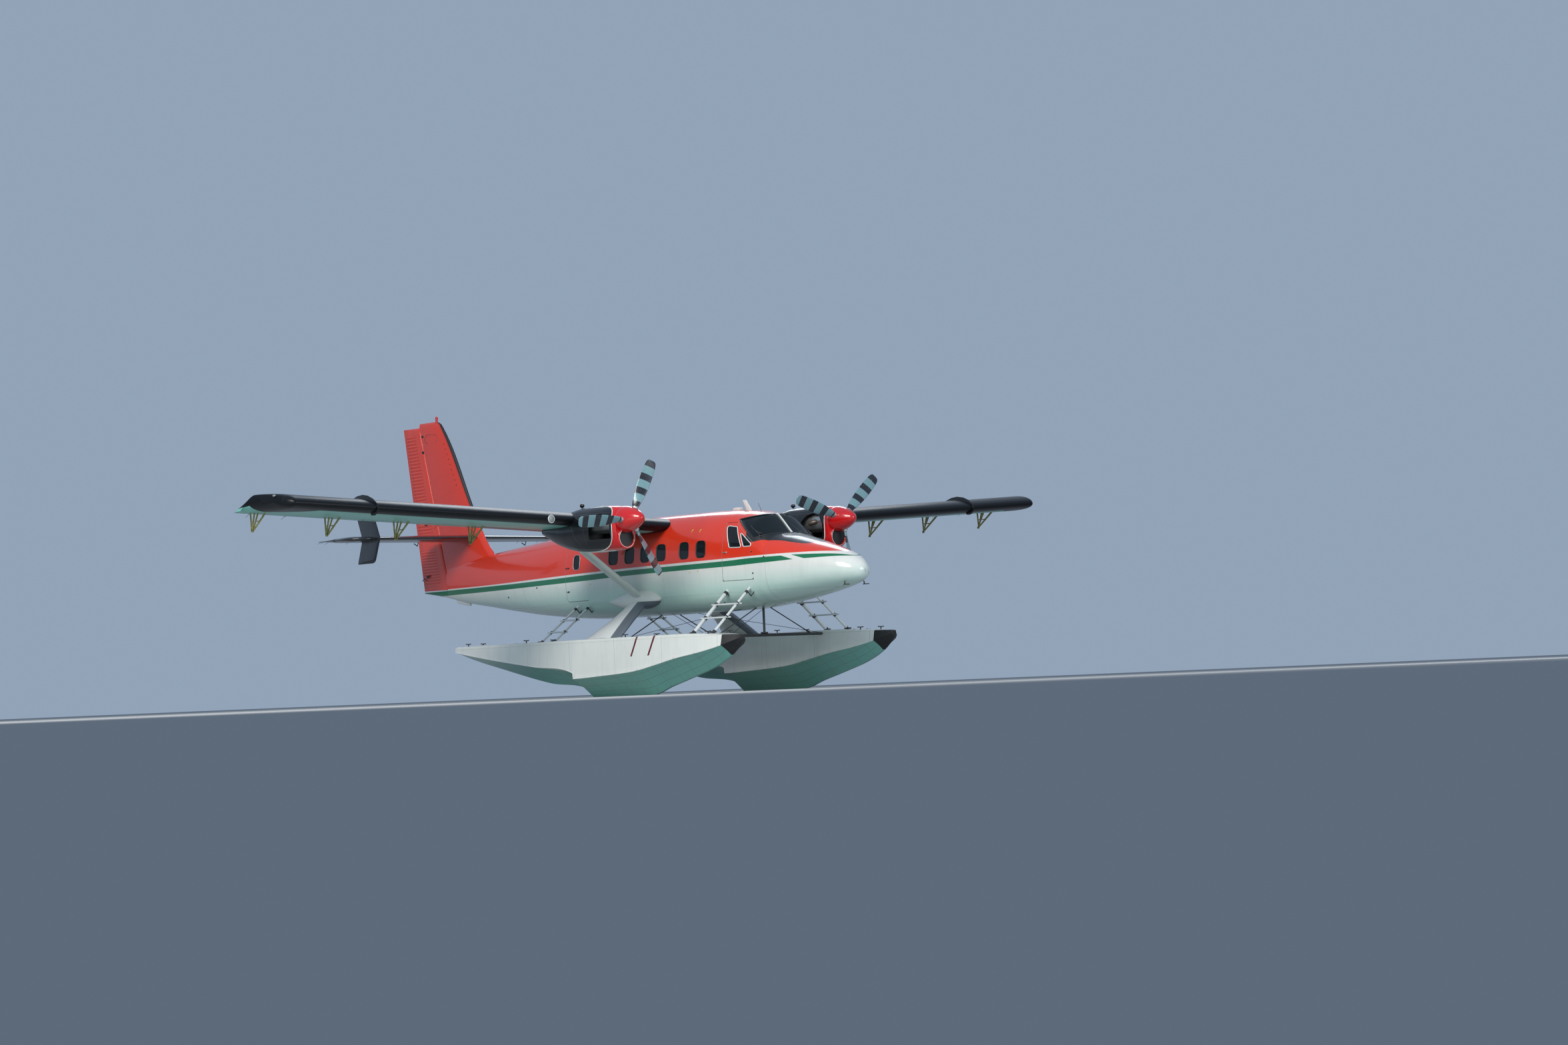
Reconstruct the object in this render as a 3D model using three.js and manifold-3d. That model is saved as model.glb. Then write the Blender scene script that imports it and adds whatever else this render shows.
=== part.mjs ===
// High-wing twin-turboprop floatplane on straight floats, in millimetres, +Z up.
// The model's origin is on the floor under the middle of the length and span.
// All lengths below are in the airframe's own frame: X forward and Z up from the
// wing's leading edge at the centreline, Y to port. The last group sets that datum
// over the origin, with the flat stretch of both keels on the floor.
import * as THREE from 'three';
import { mergeVertices } from 'three/addons/utils/BufferGeometryUtils.js';
import Module from 'manifold-3d';

const wasm = await Module();
wasm.setup();

// Driving dimensions
const DATUM = new THREE.Vector3(2500, 0, 3330);
const SEAT_GAP = 0.3;
const RIM_GAP = 9;
const FAR = 12000;
const DEGREE = Math.PI / 180;

const WING = {
  halfSpan: 9905, chord: 1981, thickness: 0.16, camber: 0.03, camberAt: 0.4,
  dihedral: 3, incidence: 2.5, rootZ: 25, sparBack: 0.70, steps: 11,
};
const FLAP = {
  front: 0.715, split: 0.845, inner: 930, step: 4350, outer: 9640,
  hingeX: -1640, hingeDrop: 425,
};
const NACELLE = { y: 2790, hubX: 1370, hubZ: 124 };
const PROP = { radius: 1295, blades: 3, spinnerTip: 1750, spinnerBack: 1215, spinnerRadius: 262 };
const BLADE_PHASE = { left: 47.8, right: 27.5 };
const WALL = 65;
const CABIN = {
  shellFront: 3000, front: 2940, back: -4950, shellBack: -5000, frameBack: -3780, floorZ: -1560,
  floorThick: 40, ceilingZ: -230, ceilingFront: 200, ceilingBack: -1500,
};
const FLOAT = { y: 1990, deckZ: -2170 };
const TAIL = {
  planeZ: 250, halfSpan: 3150, finThickness: 0.10, coneBack: -8440, coneWall: 32, boomBack: -8290, finSkin: 18,
};

// Fuselage stations: x, top, bottom, half width, height of the widest line,
// roundness above and below that line (2 is an ellipse, more is squarer).
const STATIONS = [
  [5048, -1080, -1100, 12, -1090, 2.0, 2.0],
  [5020, -985, -1195, 110, -1090, 2.0, 2.0],
  [4930, -890, -1272, 225, -1080, 2.0, 2.0],
  [4700, -740, -1350, 372, -1060, 2.1, 2.1],
  [4300, -605, -1430, 520, -1040, 2.3, 2.2],
  [3800, -465, -1510, 645, -1010, 2.5, 2.3],
  [3300, -335, -1575, 735, -980, 2.7, 2.5],
  [2960, -245, -1615, 780, -950, 2.8, 2.6],
  [2840, -130, -1628, 792, -940, 2.8, 2.7],
  [2680, 30, -1642, 806, -930, 2.8, 2.7],
  [2530, 150, -1655, 820, -920, 2.8, 2.8],
  [2350, 195, -1670, 834, -910, 2.8, 3.0],
  [2070, 240, -1690, 852, -900, 2.8, 3.2],
  [1500, 285, -1715, 872, -880, 2.9, 3.4],
  [800, 300, -1720, 875, -880, 2.9, 3.4],
  [-1000, 300, -1720, 875, -880, 2.9, 3.4],
  [-2000, 262, -1720, 875, -880, 2.8, 3.4],
  [-2700, 212, -1715, 868, -880, 2.7, 3.3],
  [-3300, 160, -1690, 842, -870, 2.5, 3.1],
  [-4150, 85, -1630, 770, -850, 2.3, 2.6],
  [-5060, 8, -1545, 655, -830, 2.2, 2.4],
  [-5980, -70, -1430, 515, -800, 2.1, 2.2],
  [-6910, -152, -1300, 375, -770, 2.1, 2.1],
  [-7860, -240, -1165, 240, -750, 2.0, 2.0],
  [-8440, -300, -1050, 165, -740, 2.0, 2.0],
];
const RING_STEPS = 24;

// Nacelle stations: x, top, bottom, half width, height of the widest line
const NACELLE_STATIONS = [
  [1205, 372, -455, 262, 20],
  [1080, 395, -470, 305, 10],
  [800, 418, -480, 350, 0],
  [350, 425, -478, 372, -10],
  [0, 420, -462, 372, -20],
  [-350, 375, -415, 345, -20],
  [-700, 290, -325, 290, 0],
  [-1050, 190, -190, 215, 20],
  [-1330, 90, -60, 130, 20],
];

// Float stations: x, keel height, chine height, half beam, deck height, half deck
const FLOAT_STATIONS = [
  [3640, -2345, -2300, 60, -2245, 55],
  [3560, -2440, -2345, 150, -2238, 130],
  [3300, -2640, -2440, 300, -2222, 262],
  [2830, -2840, -2545, 420, -2190, 370],
  [2200, -3010, -2640, 500, -2170, 448],
  [1500, -3180, -2770, 540, -2170, 488],
  [900, -3330, -2860, 550, -2170, 500],
  [-150, -3330, -2920, 550, -2170, 502],
  [-1000, -3330, -2950, 545, -2170, 500],
  [-1012, -3215, -2840, 540, -2170, 498],
  [-2400, -3010, -2670, 480, -2170, 450],
  [-3900, -2700, -2490, 370, -2170, 345],
  [-5300, -2370, -2305, 205, -2170, 190],
  [-5480, -2310, -2280, 160, -2180, 145],
];
const KEEL_HALF = 30;

// Shape helpers

function solid(geometry) {
  const bare = geometry.clone();
  bare.deleteAttribute('normal');
  bare.deleteAttribute('uv');
  const merged = mergeVertices(bare, 1e-4);
  const mesh = new wasm.Mesh({
    numProp: 3,
    vertProperties: new Float32Array(merged.attributes.position.array),
    triVerts: new Uint32Array(merged.index.array),
  });
  return new wasm.Manifold(mesh);
}

function geometryOf(manifold) {
  const mesh = manifold.getMesh();
  const geometry = new THREE.BufferGeometry();
  geometry.setAttribute('position', new THREE.BufferAttribute(mesh.vertProperties, 3));
  geometry.setIndex(new THREE.BufferAttribute(mesh.triVerts, 1));
  return geometry;
}

// Skin over a row of rings with the same number of points, closed by a fan at each end.
// Four-sided faces are split the mirrored way to starboard, so that both sides are alike.
function loft(rings) {
  const count = rings[0].length;
  const points = rings.flat();
  const faces = [];
  for (let row = 0; row + 1 < rings.length; row += 1) {
    for (let i = 0; i < count; i += 1) {
      const a = row * count + i;
      const b = row * count + (i + 1) % count;
      const y = points[a].y + points[b].y + points[a + count].y + points[b + count].y;
      if (y < -1) faces.push([a, b, b + count], [a, b + count, a + count]);
      else faces.push([a, b, a + count], [b, b + count, a + count]);
    }
  }
  for (const row of [0, rings.length - 1]) {
    const centre = new THREE.Vector3();
    rings[row].forEach((p) => centre.addScaledVector(p, 1 / count));
    points.push(centre);
    const hub = points.length - 1;
    for (let i = 0; i < count; i += 1) {
      const a = row * count + i;
      const b = row * count + (i + 1) % count;
      faces.push(row === 0 ? [b, a, hub] : [a, b, hub]);
    }
  }
  return outward(points, faces);
}

function outward(points, faces) {
  let volume = 0;
  for (const [a, b, c] of faces) {
    volume += points[a].dot(points[b].clone().cross(points[c]));
  }
  const order = volume < 0 ? faces.map(([a, b, c]) => [a, c, b]) : faces;
  const geometry = new THREE.BufferGeometry().setFromPoints(points);
  geometry.setIndex(order.flat());
  return solid(geometry);
}

// Straight prism of an outline given as [x, z] pairs, between two Y planes.
function prismY(outline, y0, y1) {
  const ring = (y) => outline.map(([x, z]) => new THREE.Vector3(x, y, z));
  return loft([ring(y0), ring(y1)]);
}

function block(x0, x1, y0, y1, z0, z1) {
  return prismY([[x0, z0], [x1, z0], [x1, z1], [x0, z1]], y0, y1);
}

// Round bar from a to b, or a cone when the end radius differs.
function bar(a, b, radius, endRadius = radius, sides = 10) {
  return oval(a, b, [radius * 2, radius * 2], [endRadius * 2, endRadius * 2], sides);
}

// Streamlined bar from a to b, its [chord, thickness] given at both ends, chord along X.
function oval(a, b, sizeA, sizeB, sides = 8) {
  const axis = b.clone().sub(a).normalize();
  const along = new THREE.Vector3(1, 0, 0);
  if (Math.abs(axis.x) > 0.9) along.set(0, 0, 1);
  along.addScaledVector(axis, -along.dot(axis)).normalize();
  const across = axis.clone().cross(along);
  const ring = (centre, [chord, thick]) => {
    const points = [];
    for (let i = 0; i < sides; i += 1) {
      const angle = 2 * Math.PI * i / sides;
      points.push(centre.clone()
        .addScaledVector(along, chord / 2 * Math.cos(angle))
        .addScaledVector(across, thick / 2 * Math.sin(angle)));
    }
    return points;
  };
  return loft([ring(a, sizeA), ring(b, sizeB)]);
}

function union(pieces) {
  return pieces.reduce((whole, piece) => whole.add(piece));
}

// The same solid on the other side of the centreline.
function mirrored(manifold) {
  const geometry = geometryOf(manifold).toNonIndexed();
  geometry.scale(1, -1, 1);
  const position = geometry.attributes.position;
  const corner = new THREE.Vector3();
  const other = new THREE.Vector3();
  for (let i = 0; i < position.count; i += 3) {
    corner.fromBufferAttribute(position, i + 1);
    other.fromBufferAttribute(position, i + 2);
    position.setXYZ(i + 1, other.x, other.y, other.z);
    position.setXYZ(i + 2, corner.x, corner.y, corner.z);
  }
  return solid(geometry);
}

function at(x, y, z) {
  return new THREE.Vector3(x, y, z);
}

// Fuselage

function power(value, exponent) {
  return Math.sign(value) * Math.abs(value) ** (2 / exponent);
}

function bodyRing([x, top, bottom, half, wide, above, below], inset) {
  const points = [];
  for (let i = 0; i < RING_STEPS; i += 1) {
    const angle = 2 * Math.PI * i / RING_STEPS;
    const upper = Math.sin(angle) >= 0;
    const roundness = upper ? above : below;
    const reach = upper ? top - wide - inset : wide - bottom - inset;
    const y = (half - inset) * power(Math.cos(angle), roundness);
    const z = wide + reach * power(Math.sin(angle), roundness);
    points.push(at(x, y, z));
  }
  return points;
}

// A row of the station table worked out at any x between two given stations.
function stationAt(x) {
  const next = STATIONS.findIndex((row) => row[0] <= x);
  if (next <= 0) return STATIONS[next < 0 ? STATIONS.length - 1 : 0];
  const [a, b] = [STATIONS[next - 1], STATIONS[next]];
  const t = (x - a[0]) / (b[0] - a[0]);
  return a.map((value, column) => value + t * (b[column] - value));
}

// The fuselage's skin between two stations, inset from the outer line.
function body(front, back, inset = 0) {
  const inner = STATIONS.filter((row) => row[0] < front - 1 && row[0] > back + 1);
  const rows = [stationAt(front), ...inner, stationAt(back)];
  rows[0][0] = front;
  rows[rows.length - 1][0] = back;
  return loft(rows.map((row) => bodyRing(row, inset)));
}

// An outline with every edge moved out by a distance (in when negative).
function offset(outline, distance) {
  const count = outline.length;
  let area = 0;
  outline.forEach(([x, z], i) => {
    const [nextX, nextZ] = outline[(i + 1) % count];
    area += x * nextZ - nextX * z;
  });
  const side = Math.sign(area) * distance;
  const edges = outline.map(([x, z], i) => {
    const [nextX, nextZ] = outline[(i + 1) % count];
    const length = Math.hypot(nextX - x, nextZ - z);
    const normal = [(nextZ - z) / length, (x - nextX) / length];
    return { x: x + normal[0] * side, z: z + normal[1] * side, u: nextX - x, w: nextZ - z };
  });
  return edges.map((edge, i) => {
    const before = edges[(i + count - 1) % count];
    const cross = before.u * edge.w - before.w * edge.u;
    const t = ((edge.x - before.x) * edge.w - (edge.z - before.z) * edge.u) / cross;
    return [before.x + before.u * t, before.z + before.w * t];
  });
}

function rectangle(x0, x1, z0, z1) {
  return [[x0, z0], [x1, z0], [x1, z1], [x0, z1]];
}

// A rectangle with its corners cut, for the rounded side windows.
function pane(x, z, width, height, corner) {
  const [w, h] = [width / 2, height / 2];
  return [
    [x - w + corner, z - h], [x + w - corner, z - h], [x + w, z - h + corner],
    [x + w, z + h - corner], [x + w - corner, z + h], [x - w + corner, z + h],
    [x - w, z + h - corner], [x - w, z - h + corner],
  ];
}

// Openings in the cabin sides. A door's free edges keep RIM_GAP, its hinge edge SEAT_GAP.
const CREW_OPENING = [[1800, -1150], [2665, -1150], [2665, -425], [2083, 15], [1800, 15]];
const CREW_DOOR = [
  [1800 + RIM_GAP, -1150 + RIM_GAP], [2665 - SEAT_GAP, -1150 + RIM_GAP], [2665 - SEAT_GAP, -425 - 11],
  [2083 - 3, 15 - RIM_GAP], [1800 + RIM_GAP, 15 - RIM_GAP],
];
const CREW_PANES = [
  [[2010, -490], [2350, -500], [2140, -85], [1848, -45]],
  [[2405, -490], [2600, -490], [2600, -440], [2260, -183]],
];
const CREW_GLASS = [[1825, -520], [2630, -520], [2630, -433], [2089, -25], [1825, -25]];
const CABIN_PANES = [1150, 630, -100, -610, -1120, -1650]
  .map((x) => pane(x, -475, 300, 340, 70));
const GLASS = { outer: 12, inner: 20, lap: 25 };
const REAR_DOOR = {
  left: rectangle(-3280, -2520, -1420, -150),
  right: rectangle(-3290, -2520, -1340, -190),
};
const REAR_PANE = pane(-2890, -530, 230, 310, 80);
const BAGGAGE_DOOR = rectangle(-4560, -3910, -1300, -330);
const NOSE_DOOR = rectangle(3350, 3900, -1230, -680);
const NOSE = { bayFront: 4300, bayBack: 3280, wall: 60, doorY: 650, taper: 0.2945 };
const WINDSCREEN = [[3100, -215], [2965, -247], [2620, -340], [2085, 70], [2560, 150], [3100, 150]];
const CENTRE_POST = 25;

// A side-hinged rectangular door inside its opening, hinged at the forward edge.
function doorIn(opening) {
  const [[x0, z0], , [x1, z1]] = opening;
  return rectangle(x0 + RIM_GAP, x1 - SEAT_GAP, z0 + RIM_GAP, z1 - RIM_GAP);
}

function sidePrism(outline, side) {
  return side > 0 ? prismY(outline, 250, FAR) : prismY(outline, -FAR, -250);
}

// Glass inside the wall, and the groove that holds it.
function glass(outline, side, front, back, slack = 0) {
  const layer = body(front, back, GLASS.outer - slack).subtract(body(front, back, GLASS.inner + slack));
  return layer.intersect(sidePrism(offset(outline, slack), side));
}

function paneStrip(panes) {
  const xs = panes.flat().map((p) => p[0]);
  const zs = panes.flat().map((p) => p[1]);
  const lap = GLASS.lap;
  return rectangle(Math.min(...xs) - lap, Math.max(...xs) + lap, Math.min(...zs) - lap, Math.max(...zs) + lap);
}

// Wing

function thicknessAt(f, ratio) {
  return 5 * ratio * (0.2969 * Math.sqrt(f) - 0.126 * f - 0.3516 * f ** 2 + 0.2843 * f ** 3 - 0.1036 * f ** 4);
}

function camberAt(f) {
  const { camber: m, camberAt: p } = WING;
  return f < p ? m / p ** 2 * (2 * p * f - f ** 2) : m / (1 - p) ** 2 * (1 - 2 * p + 2 * p * f - f ** 2);
}

// Closed outline of the wing section between two fractions of the chord, as [x, z] at the root.
function foil(from, to, { grow = 0, thin = 1 } = {}) {
  const [c, s] = [Math.cos(WING.incidence * DEGREE), Math.sin(WING.incidence * DEGREE)];
  const point = (f, side) => {
    const z = (camberAt(f) + side * thin * thicknessAt(f, WING.thickness)) * WING.chord + side * grow;
    const x = -f * WING.chord;
    return [x * c - z * s + (f === 0 ? grow : 0), x * s + z * c + WING.rootZ];
  };
  const points = [];
  for (let i = 0; i <= WING.steps; i += 1) {
    const t = i / WING.steps;
    const f = from + (to - from) * (from === 0 ? t ** 2 : t);
    points.push([f, 1]);
  }
  for (let i = WING.steps; i >= (from === 0 ? 1 : 0); i -= 1) {
    const t = i / WING.steps;
    const f = from + (to - from) * (from === 0 ? t ** 2 : t);
    if (f < 1) points.push([f, -1]);
  }
  return points.map(([f, side]) => point(f, side));
}

function rise(y) {
  return Math.abs(y) * Math.tan(WING.dihedral * DEGREE);
}

function spanRing(outline, y, { shrink = 0, lift = 0 } = {}) {
  return outline.map(([x, z]) => at(x - shrink * (x + 500) / WING.chord, y, z + rise(y) + lift));
}

// Wing with its fences and the fixed arms of the flap and aileron hinges.
const FENCE_Y = 7840;
const FENCE = [
  [-60, 20], [-150, 150], [-350, 245], [-580, 262], [-640, 215], [-600, -100], [-450, -150],
  [-250, -130], [-100, -70],
];
const HINGE_ARMS = [1060, 4470, 6270, 7880, 9570];
const ARM = { half: 8, beside: 24, pin: 12, pinGap: 0.9 };
const FIXED_ARM = [[-1080, -60], [-1330, -75], [-1672, -448], [-1640, -475]];
const MOVING_ARM = [[-1500, -70], [-1665, -75], [-1655, -475], [-1618, -452]];

function hingeZ(y) {
  return rise(y) - FLAP.hingeDrop;
}

function arm(outline, y) {
  return prismY(outline.map(([x, z]) => [x, z + rise(y) + WING.rootZ]), y - ARM.half, y + ARM.half);
}

function wing(grow = 0) {
  const back = WING.sparBack + grow / WING.chord;
  const main = foil(0, back, { grow });
  const tip = foil(0, back, { grow, thin: 0.45 });
  const side = (sign) => [
    spanRing(tip, sign * (WING.halfSpan + grow), { shrink: 220, lift: 45 }),
    spanRing(foil(0, back, { grow, thin: 0.85 }), sign * 9830, { shrink: 70, lift: 20 }),
    spanRing(main, sign * 9660),
  ];
  return loft([...side(1), spanRing(main, 0), ...side(-1).reverse()]);
}

// Rear part of a wing tip, outboard of the flap and aileron, a fairing behind the rear spar.
function tipLeft() {
  const from = WING.sparBack + 0.0003;
  const whole = foil(from, 1);
  return loft([
    spanRing(foil(from, 1, { thin: 0.45 }), WING.halfSpan, { shrink: 220, lift: 45 }),
    spanRing(foil(from, 1, { thin: 0.85 }), 9830, { shrink: 70, lift: 20 }),
    spanRing(whole, 9660), spanRing(whole, FLAP.outer + 14),
  ]);
}

function wingWhole() {
  const extras = [];
  for (const sign of [1, -1]) {
    extras.push(prismY(FENCE.map(([x, z]) => [x, z + rise(FENCE_Y) + WING.rootZ]),
      sign * FENCE_Y - 4, sign * FENCE_Y + 4));
    for (const y of HINGE_ARMS) {
      extras.push(arm(FIXED_ARM, sign * y));
      const [near, far] = [y - ARM.half, y + ARM.beside - ARM.half - ARM.pinGap];
      extras.push(bar(hingePoint(sign * near), hingePoint(sign * far), ARM.pin));
    }
  }
  return union([wing(), ...extras]);
}

function hingePoint(y) {
  return at(FLAP.hingeX, y, hingeZ(y));
}

function flapLeft() {
  const whole = foil(FLAP.front, 1);
  const narrow = foil(FLAP.front, FLAP.split);
  const pieces = [
    loft([spanRing(whole, FLAP.inner), spanRing(whole, FLAP.step)]),
    loft([spanRing(narrow, FLAP.step - 50), spanRing(narrow, FLAP.outer)]),
    ...HINGE_ARMS.map((y) => arm(MOVING_ARM, y + ARM.beside)),
  ];
  return union(pieces);
}

const AILERON = { front: 0.857, hinge: 0.875, inner: FLAP.step + 15, outer: FLAP.outer, pin: 9 };

function aileronHinge(y) {
  const f = AILERON.hinge;
  const [c, s] = [Math.cos(WING.incidence * DEGREE), Math.sin(WING.incidence * DEGREE)];
  const [x, z] = [-f * WING.chord, camberAt(f) * WING.chord];
  return at(x * c - z * s, y, x * s + z * c + WING.rootZ + rise(y));
}

function aileronLeft() {
  const outline = foil(AILERON.front, 1);
  const blade = loft([spanRing(outline, AILERON.inner), spanRing(outline, AILERON.outer)]);
  const pin = bar(aileronHinge(FLAP.step + ARM.pinGap), aileronHinge(AILERON.inner + 40), AILERON.pin);
  return blade.add(pin);
}

// Engines

function nacelleRing([x, top, bottom, half, wide], inset) {
  const points = [];
  for (let i = 0; i < 24; i += 1) {
    const angle = 2 * Math.PI * i / 24;
    const reach = Math.sin(angle) >= 0 ? top - wide - inset : wide - bottom - inset;
    points.push(at(x, NACELLE.y + (half - inset) * power(Math.cos(angle), 2.3),
      wide + reach * power(Math.sin(angle), 2.1)));
  }
  return points;
}

const COWL = { wall: 30, bayBack: 70, bayFront: 1150, noseHole: 90, intakeZ: -232, intakeRadius: 185 };

function nacelleHull(inset = 0) {
  return loft(NACELLE_STATIONS.map((row) => nacelleRing(row, inset)));
}

function engineBay() {
  const inside = nacelleHull(COWL.wall);
  const room = block(COWL.bayBack, COWL.bayFront, NACELLE.y - 600, NACELLE.y + 600, -600, 600);
  return inside.intersect(room);
}

function nacelleLeft() {
  const shaft = bar(at(COWL.bayFront - 60, NACELLE.y, NACELLE.hubZ), at(1400, NACELLE.y, NACELLE.hubZ),
    COWL.noseHole);
  const intake = bar(at(COWL.bayFront - 60, NACELLE.y, COWL.intakeZ), at(1400, NACELLE.y, COWL.intakeZ),
    COWL.intakeRadius - 10, COWL.intakeRadius + 10, 20);
  return nacelleHull().subtract(engineBay()).subtract(shaft).subtract(intake).subtract(wing(SEAT_GAP));
}

const ENGINE = { back: COWL.bayBack + SEAT_GAP, front: 1130, radius: 232, z: 108 };

function engineLeft() {
  return bar(at(ENGINE.back, NACELLE.y, ENGINE.z), at(ENGINE.front, NACELLE.y, ENGINE.z),
    ENGINE.radius, ENGINE.radius, 16);
}

// Propeller at the origin of its own shaft, facing +X, first blade straight up.
const BLADE = [
  [120, 90, 80, 60], [260, 120, 62, 48], [480, 205, 40, 36], [800, 250, 26, 26],
  [1120, 240, 16, 18], [1270, 190, 10, 14], [1295, 120, 8, 12],
];

function bladeRing([radius, chord, thick, pitch]) {
  const points = [];
  const [c, s] = [Math.cos(pitch * DEGREE), Math.sin(pitch * DEGREE)];
  for (let i = 0; i < 8; i += 1) {
    const angle = 2 * Math.PI * i / 8;
    const [u, v] = [chord / 2 * Math.cos(angle), thick / 2 * Math.sin(angle)];
    points.push(at(u * s - v * c, u * c + v * s, radius));
  }
  return points;
}

function propeller(y, phase) {
  const blades = [];
  const blade = geometryOf(loft(BLADE.map(bladeRing)));
  for (let i = 0; i < PROP.blades; i += 1) {
    const turned = blade.clone().rotateX(-(phase + 360 / PROP.blades * i) * DEGREE);
    blades.push(solid(turned));
  }
  const profile = [[0, PROP.spinnerTip], [70, 1715], [140, 1640], [200, 1520], [240, 1380],
    [PROP.spinnerRadius, PROP.spinnerBack], [0, PROP.spinnerBack]]
    .map(([r, x]) => new THREE.Vector2(r, x - NACELLE.hubX));
  const spinner = new THREE.LatheGeometry(profile.reverse(), 24).rotateZ(-Math.PI / 2);
  const shaft = bar(at(ENGINE.front + SEAT_GAP - NACELLE.hubX, 0, 0),
    at(PROP.spinnerBack + 20 - NACELLE.hubX, 0, 0), 60);
  const whole = geometryOf(union([solid(spinner), shaft, ...blades]));
  return solid(whole.translate(NACELLE.hubX, y, NACELLE.hubZ));
}

// Tail

// Leading edge of the fin, hinge line and trailing edge of the rudder, each as X at a height Z.
const FIN_ROWS = [
  { z: -700, front: -6750 }, { z: -150, front: -6860 }, { z: 60, front: -7085 },
  { z: 300, front: -7213 }, { z: 2780, front: -8580 }, { z: 2890, front: -8760 },
];
const BEACON = { x: -8790, foot: 2840, top: 3010, radius: 34 };
const rudderHingeX = (z) => -8710 - 0.265 * z;
const rudderBackX = (z) => -9600 - 0.16 * z;
const rudderFrontX = (z) => FIN_ROWS[3].front - 0.551 * (z - 300);
const RUDDER = {
  bottom: -845, top: 2800, gap: 14, pin: 16, stingerTop: -862, skin: 15, roomBack: 420, ventZ: 1000,
};

// Level section of the fin from its leading edge back to an X station.
function uprightRing(z, front, half, to) {
  const points = [];
  const steps = 7;
  const xs = [];
  for (let i = 0; i <= steps; i += 1) xs.push(front + (to - front) * (i / steps) ** 2);
  xs.forEach((x) => points.push(at(x, half(x), z)));
  xs.reverse().forEach((x) => points.push(at(x, -half(x), z)));
  return points;
}

// Section of a hinged surface: a nose rounded about the hinge line, then the sides to the back.
// Given as [x, offset from the middle], with a function for the half thickness at any x.
function hingedSection(hinge, back, half) {
  const radius = half(hinge);
  const points = [];
  for (let angle = -90; angle <= 90; angle += 30) {
    points.push([hinge + radius * Math.cos(angle * DEGREE), radius * Math.sin(angle * DEGREE)]);
  }
  const steps = 3;
  for (const side of [1, -1]) {
    for (let i = 1; i <= steps; i += 1) {
      const t = side > 0 ? i / steps : (steps + 1 - i) / steps;
      const x = hinge + (back - hinge) * t;
      points.push([x, side * half(x)]);
    }
  }
  return points;
}

// Section of the hollow inside such a surface, a skin's thickness in from its sides.
function hollowRing(front, back, half, skin, point) {
  const xs = [0, 1, 2, 3, 4].map((i) => front + (back - front) * i / 4);
  return xs.map((x) => point(x, half(x) - skin)).concat(xs.map((x) => point(x, skin - half(x))).reverse());
}

function finHalf(z, front) {
  const chord = front - rudderBackX(z);
  return (x) => Math.max(thicknessAt((front - x) / chord, TAIL.finThickness) * chord, 4);
}

function fin() {
  const rings = FIN_ROWS.map(({ z, front }) => {
    const hinge = rudderHingeX(z);
    return uprightRing(z, front, finHalf(z, front), hinge + finHalf(z, rudderFrontX(z))(hinge) + RUDDER.gap);
  });
  const beacon = bar(at(BEACON.x, 0, BEACON.foot), at(BEACON.x, 0, BEACON.top), BEACON.radius);
  return loft(rings).subtract(body(-6000, TAIL.coneBack - SEAT_GAP, -SEAT_GAP)).subtract(tailplaneHull(SEAT_GAP))
    .subtract(finRoom()).add(beacon);
}

// Hollow of the fin above the tailplane, which closes it from below: height, front and back.
const FIN_ROOM = [[270, -7400, -8290], [2650, -8570, -9280]];

function finRoom() {
  return loft(FIN_ROOM.map(([z, front, back]) => hollowRing(
    front, back, finHalf(z, rudderFrontX(z)), TAIL.finSkin, (x, y) => at(x, y, z))));
}

// Space kept free for the rudder above the stinger, with a flat front along its nose.
function rudderRoom() {
  const ring = (z) => {
    const hinge = rudderHingeX(z);
    const front = hinge + finHalf(z, rudderFrontX(z))(hinge) + RUDDER.gap;
    return [at(front, 400, z), at(-FAR, 400, z), at(-FAR, -400, z), at(front, -400, z)];
  };
  return loft([ring(RUDDER.stingerTop), ring(0)]);
}

function rudder() {
  const rows = [RUDDER.bottom, 250, 2650, RUDDER.top];
  const rings = rows.map((z) => {
    const half = finHalf(z, rudderFrontX(z));
    return hingedSection(rudderHingeX(z), rudderBackX(z), half).map(([x, y]) => at(x, y, z));
  });
  const low = RUDDER.stingerTop + SEAT_GAP + 4.6;
  const pin = bar(at(rudderHingeX(low), 0, low), at(rudderHingeX(-700), 0, -700), RUDDER.pin);
  const rooms = [-760, 2680].map((z) => hollowRing(
    rudderHingeX(z) - 5, rudderBackX(z) + RUDDER.roomBack, finHalf(z, rudderFrontX(z)), RUDDER.skin,
    (x, y) => at(x, y, z)));
  const vent = bar(at(rudderHingeX(RUDDER.ventZ) - 20, 0, RUDDER.ventZ),
    at(rudderHingeX(RUDDER.ventZ) + 200, 0, RUDDER.ventZ), RUDDER.pin);
  return loft(rings).add(pin).subtract(loft(rooms)).subtract(vent);
}

const PLANE = {
  rootFront: -7330, tipFront: -7700, hinge: -8400, back: -8950, gap: 14,
  thickness: 0.095, inner: 190, innerBack: 275, pin: 14, pinFrom: 108.8, roomHalf: 2480,
};

function planeHalf(front) {
  const chord = front - PLANE.back;
  return (x) => Math.max(thicknessAt((front - x) / chord, PLANE.thickness) * chord, 4);
}

function planeRing(y, front, from, to, grow) {
  const steps = 6;
  const xs = [];
  for (let i = 0; i <= steps; i += 1) {
    const t = i / steps;
    xs.push(from + (to - from) * (from === front ? t ** 2 : t));
  }
  const half = (x) => planeHalf(front)(x) + grow;
  const points = xs.map((x, i) => at(x + (i === 0 ? grow : 0), y, TAIL.planeZ + half(x)));
  return points.concat(xs.map((x, i) => at(x + (i === 0 ? grow : 0), y, TAIL.planeZ - half(x))).reverse());
}

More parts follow.
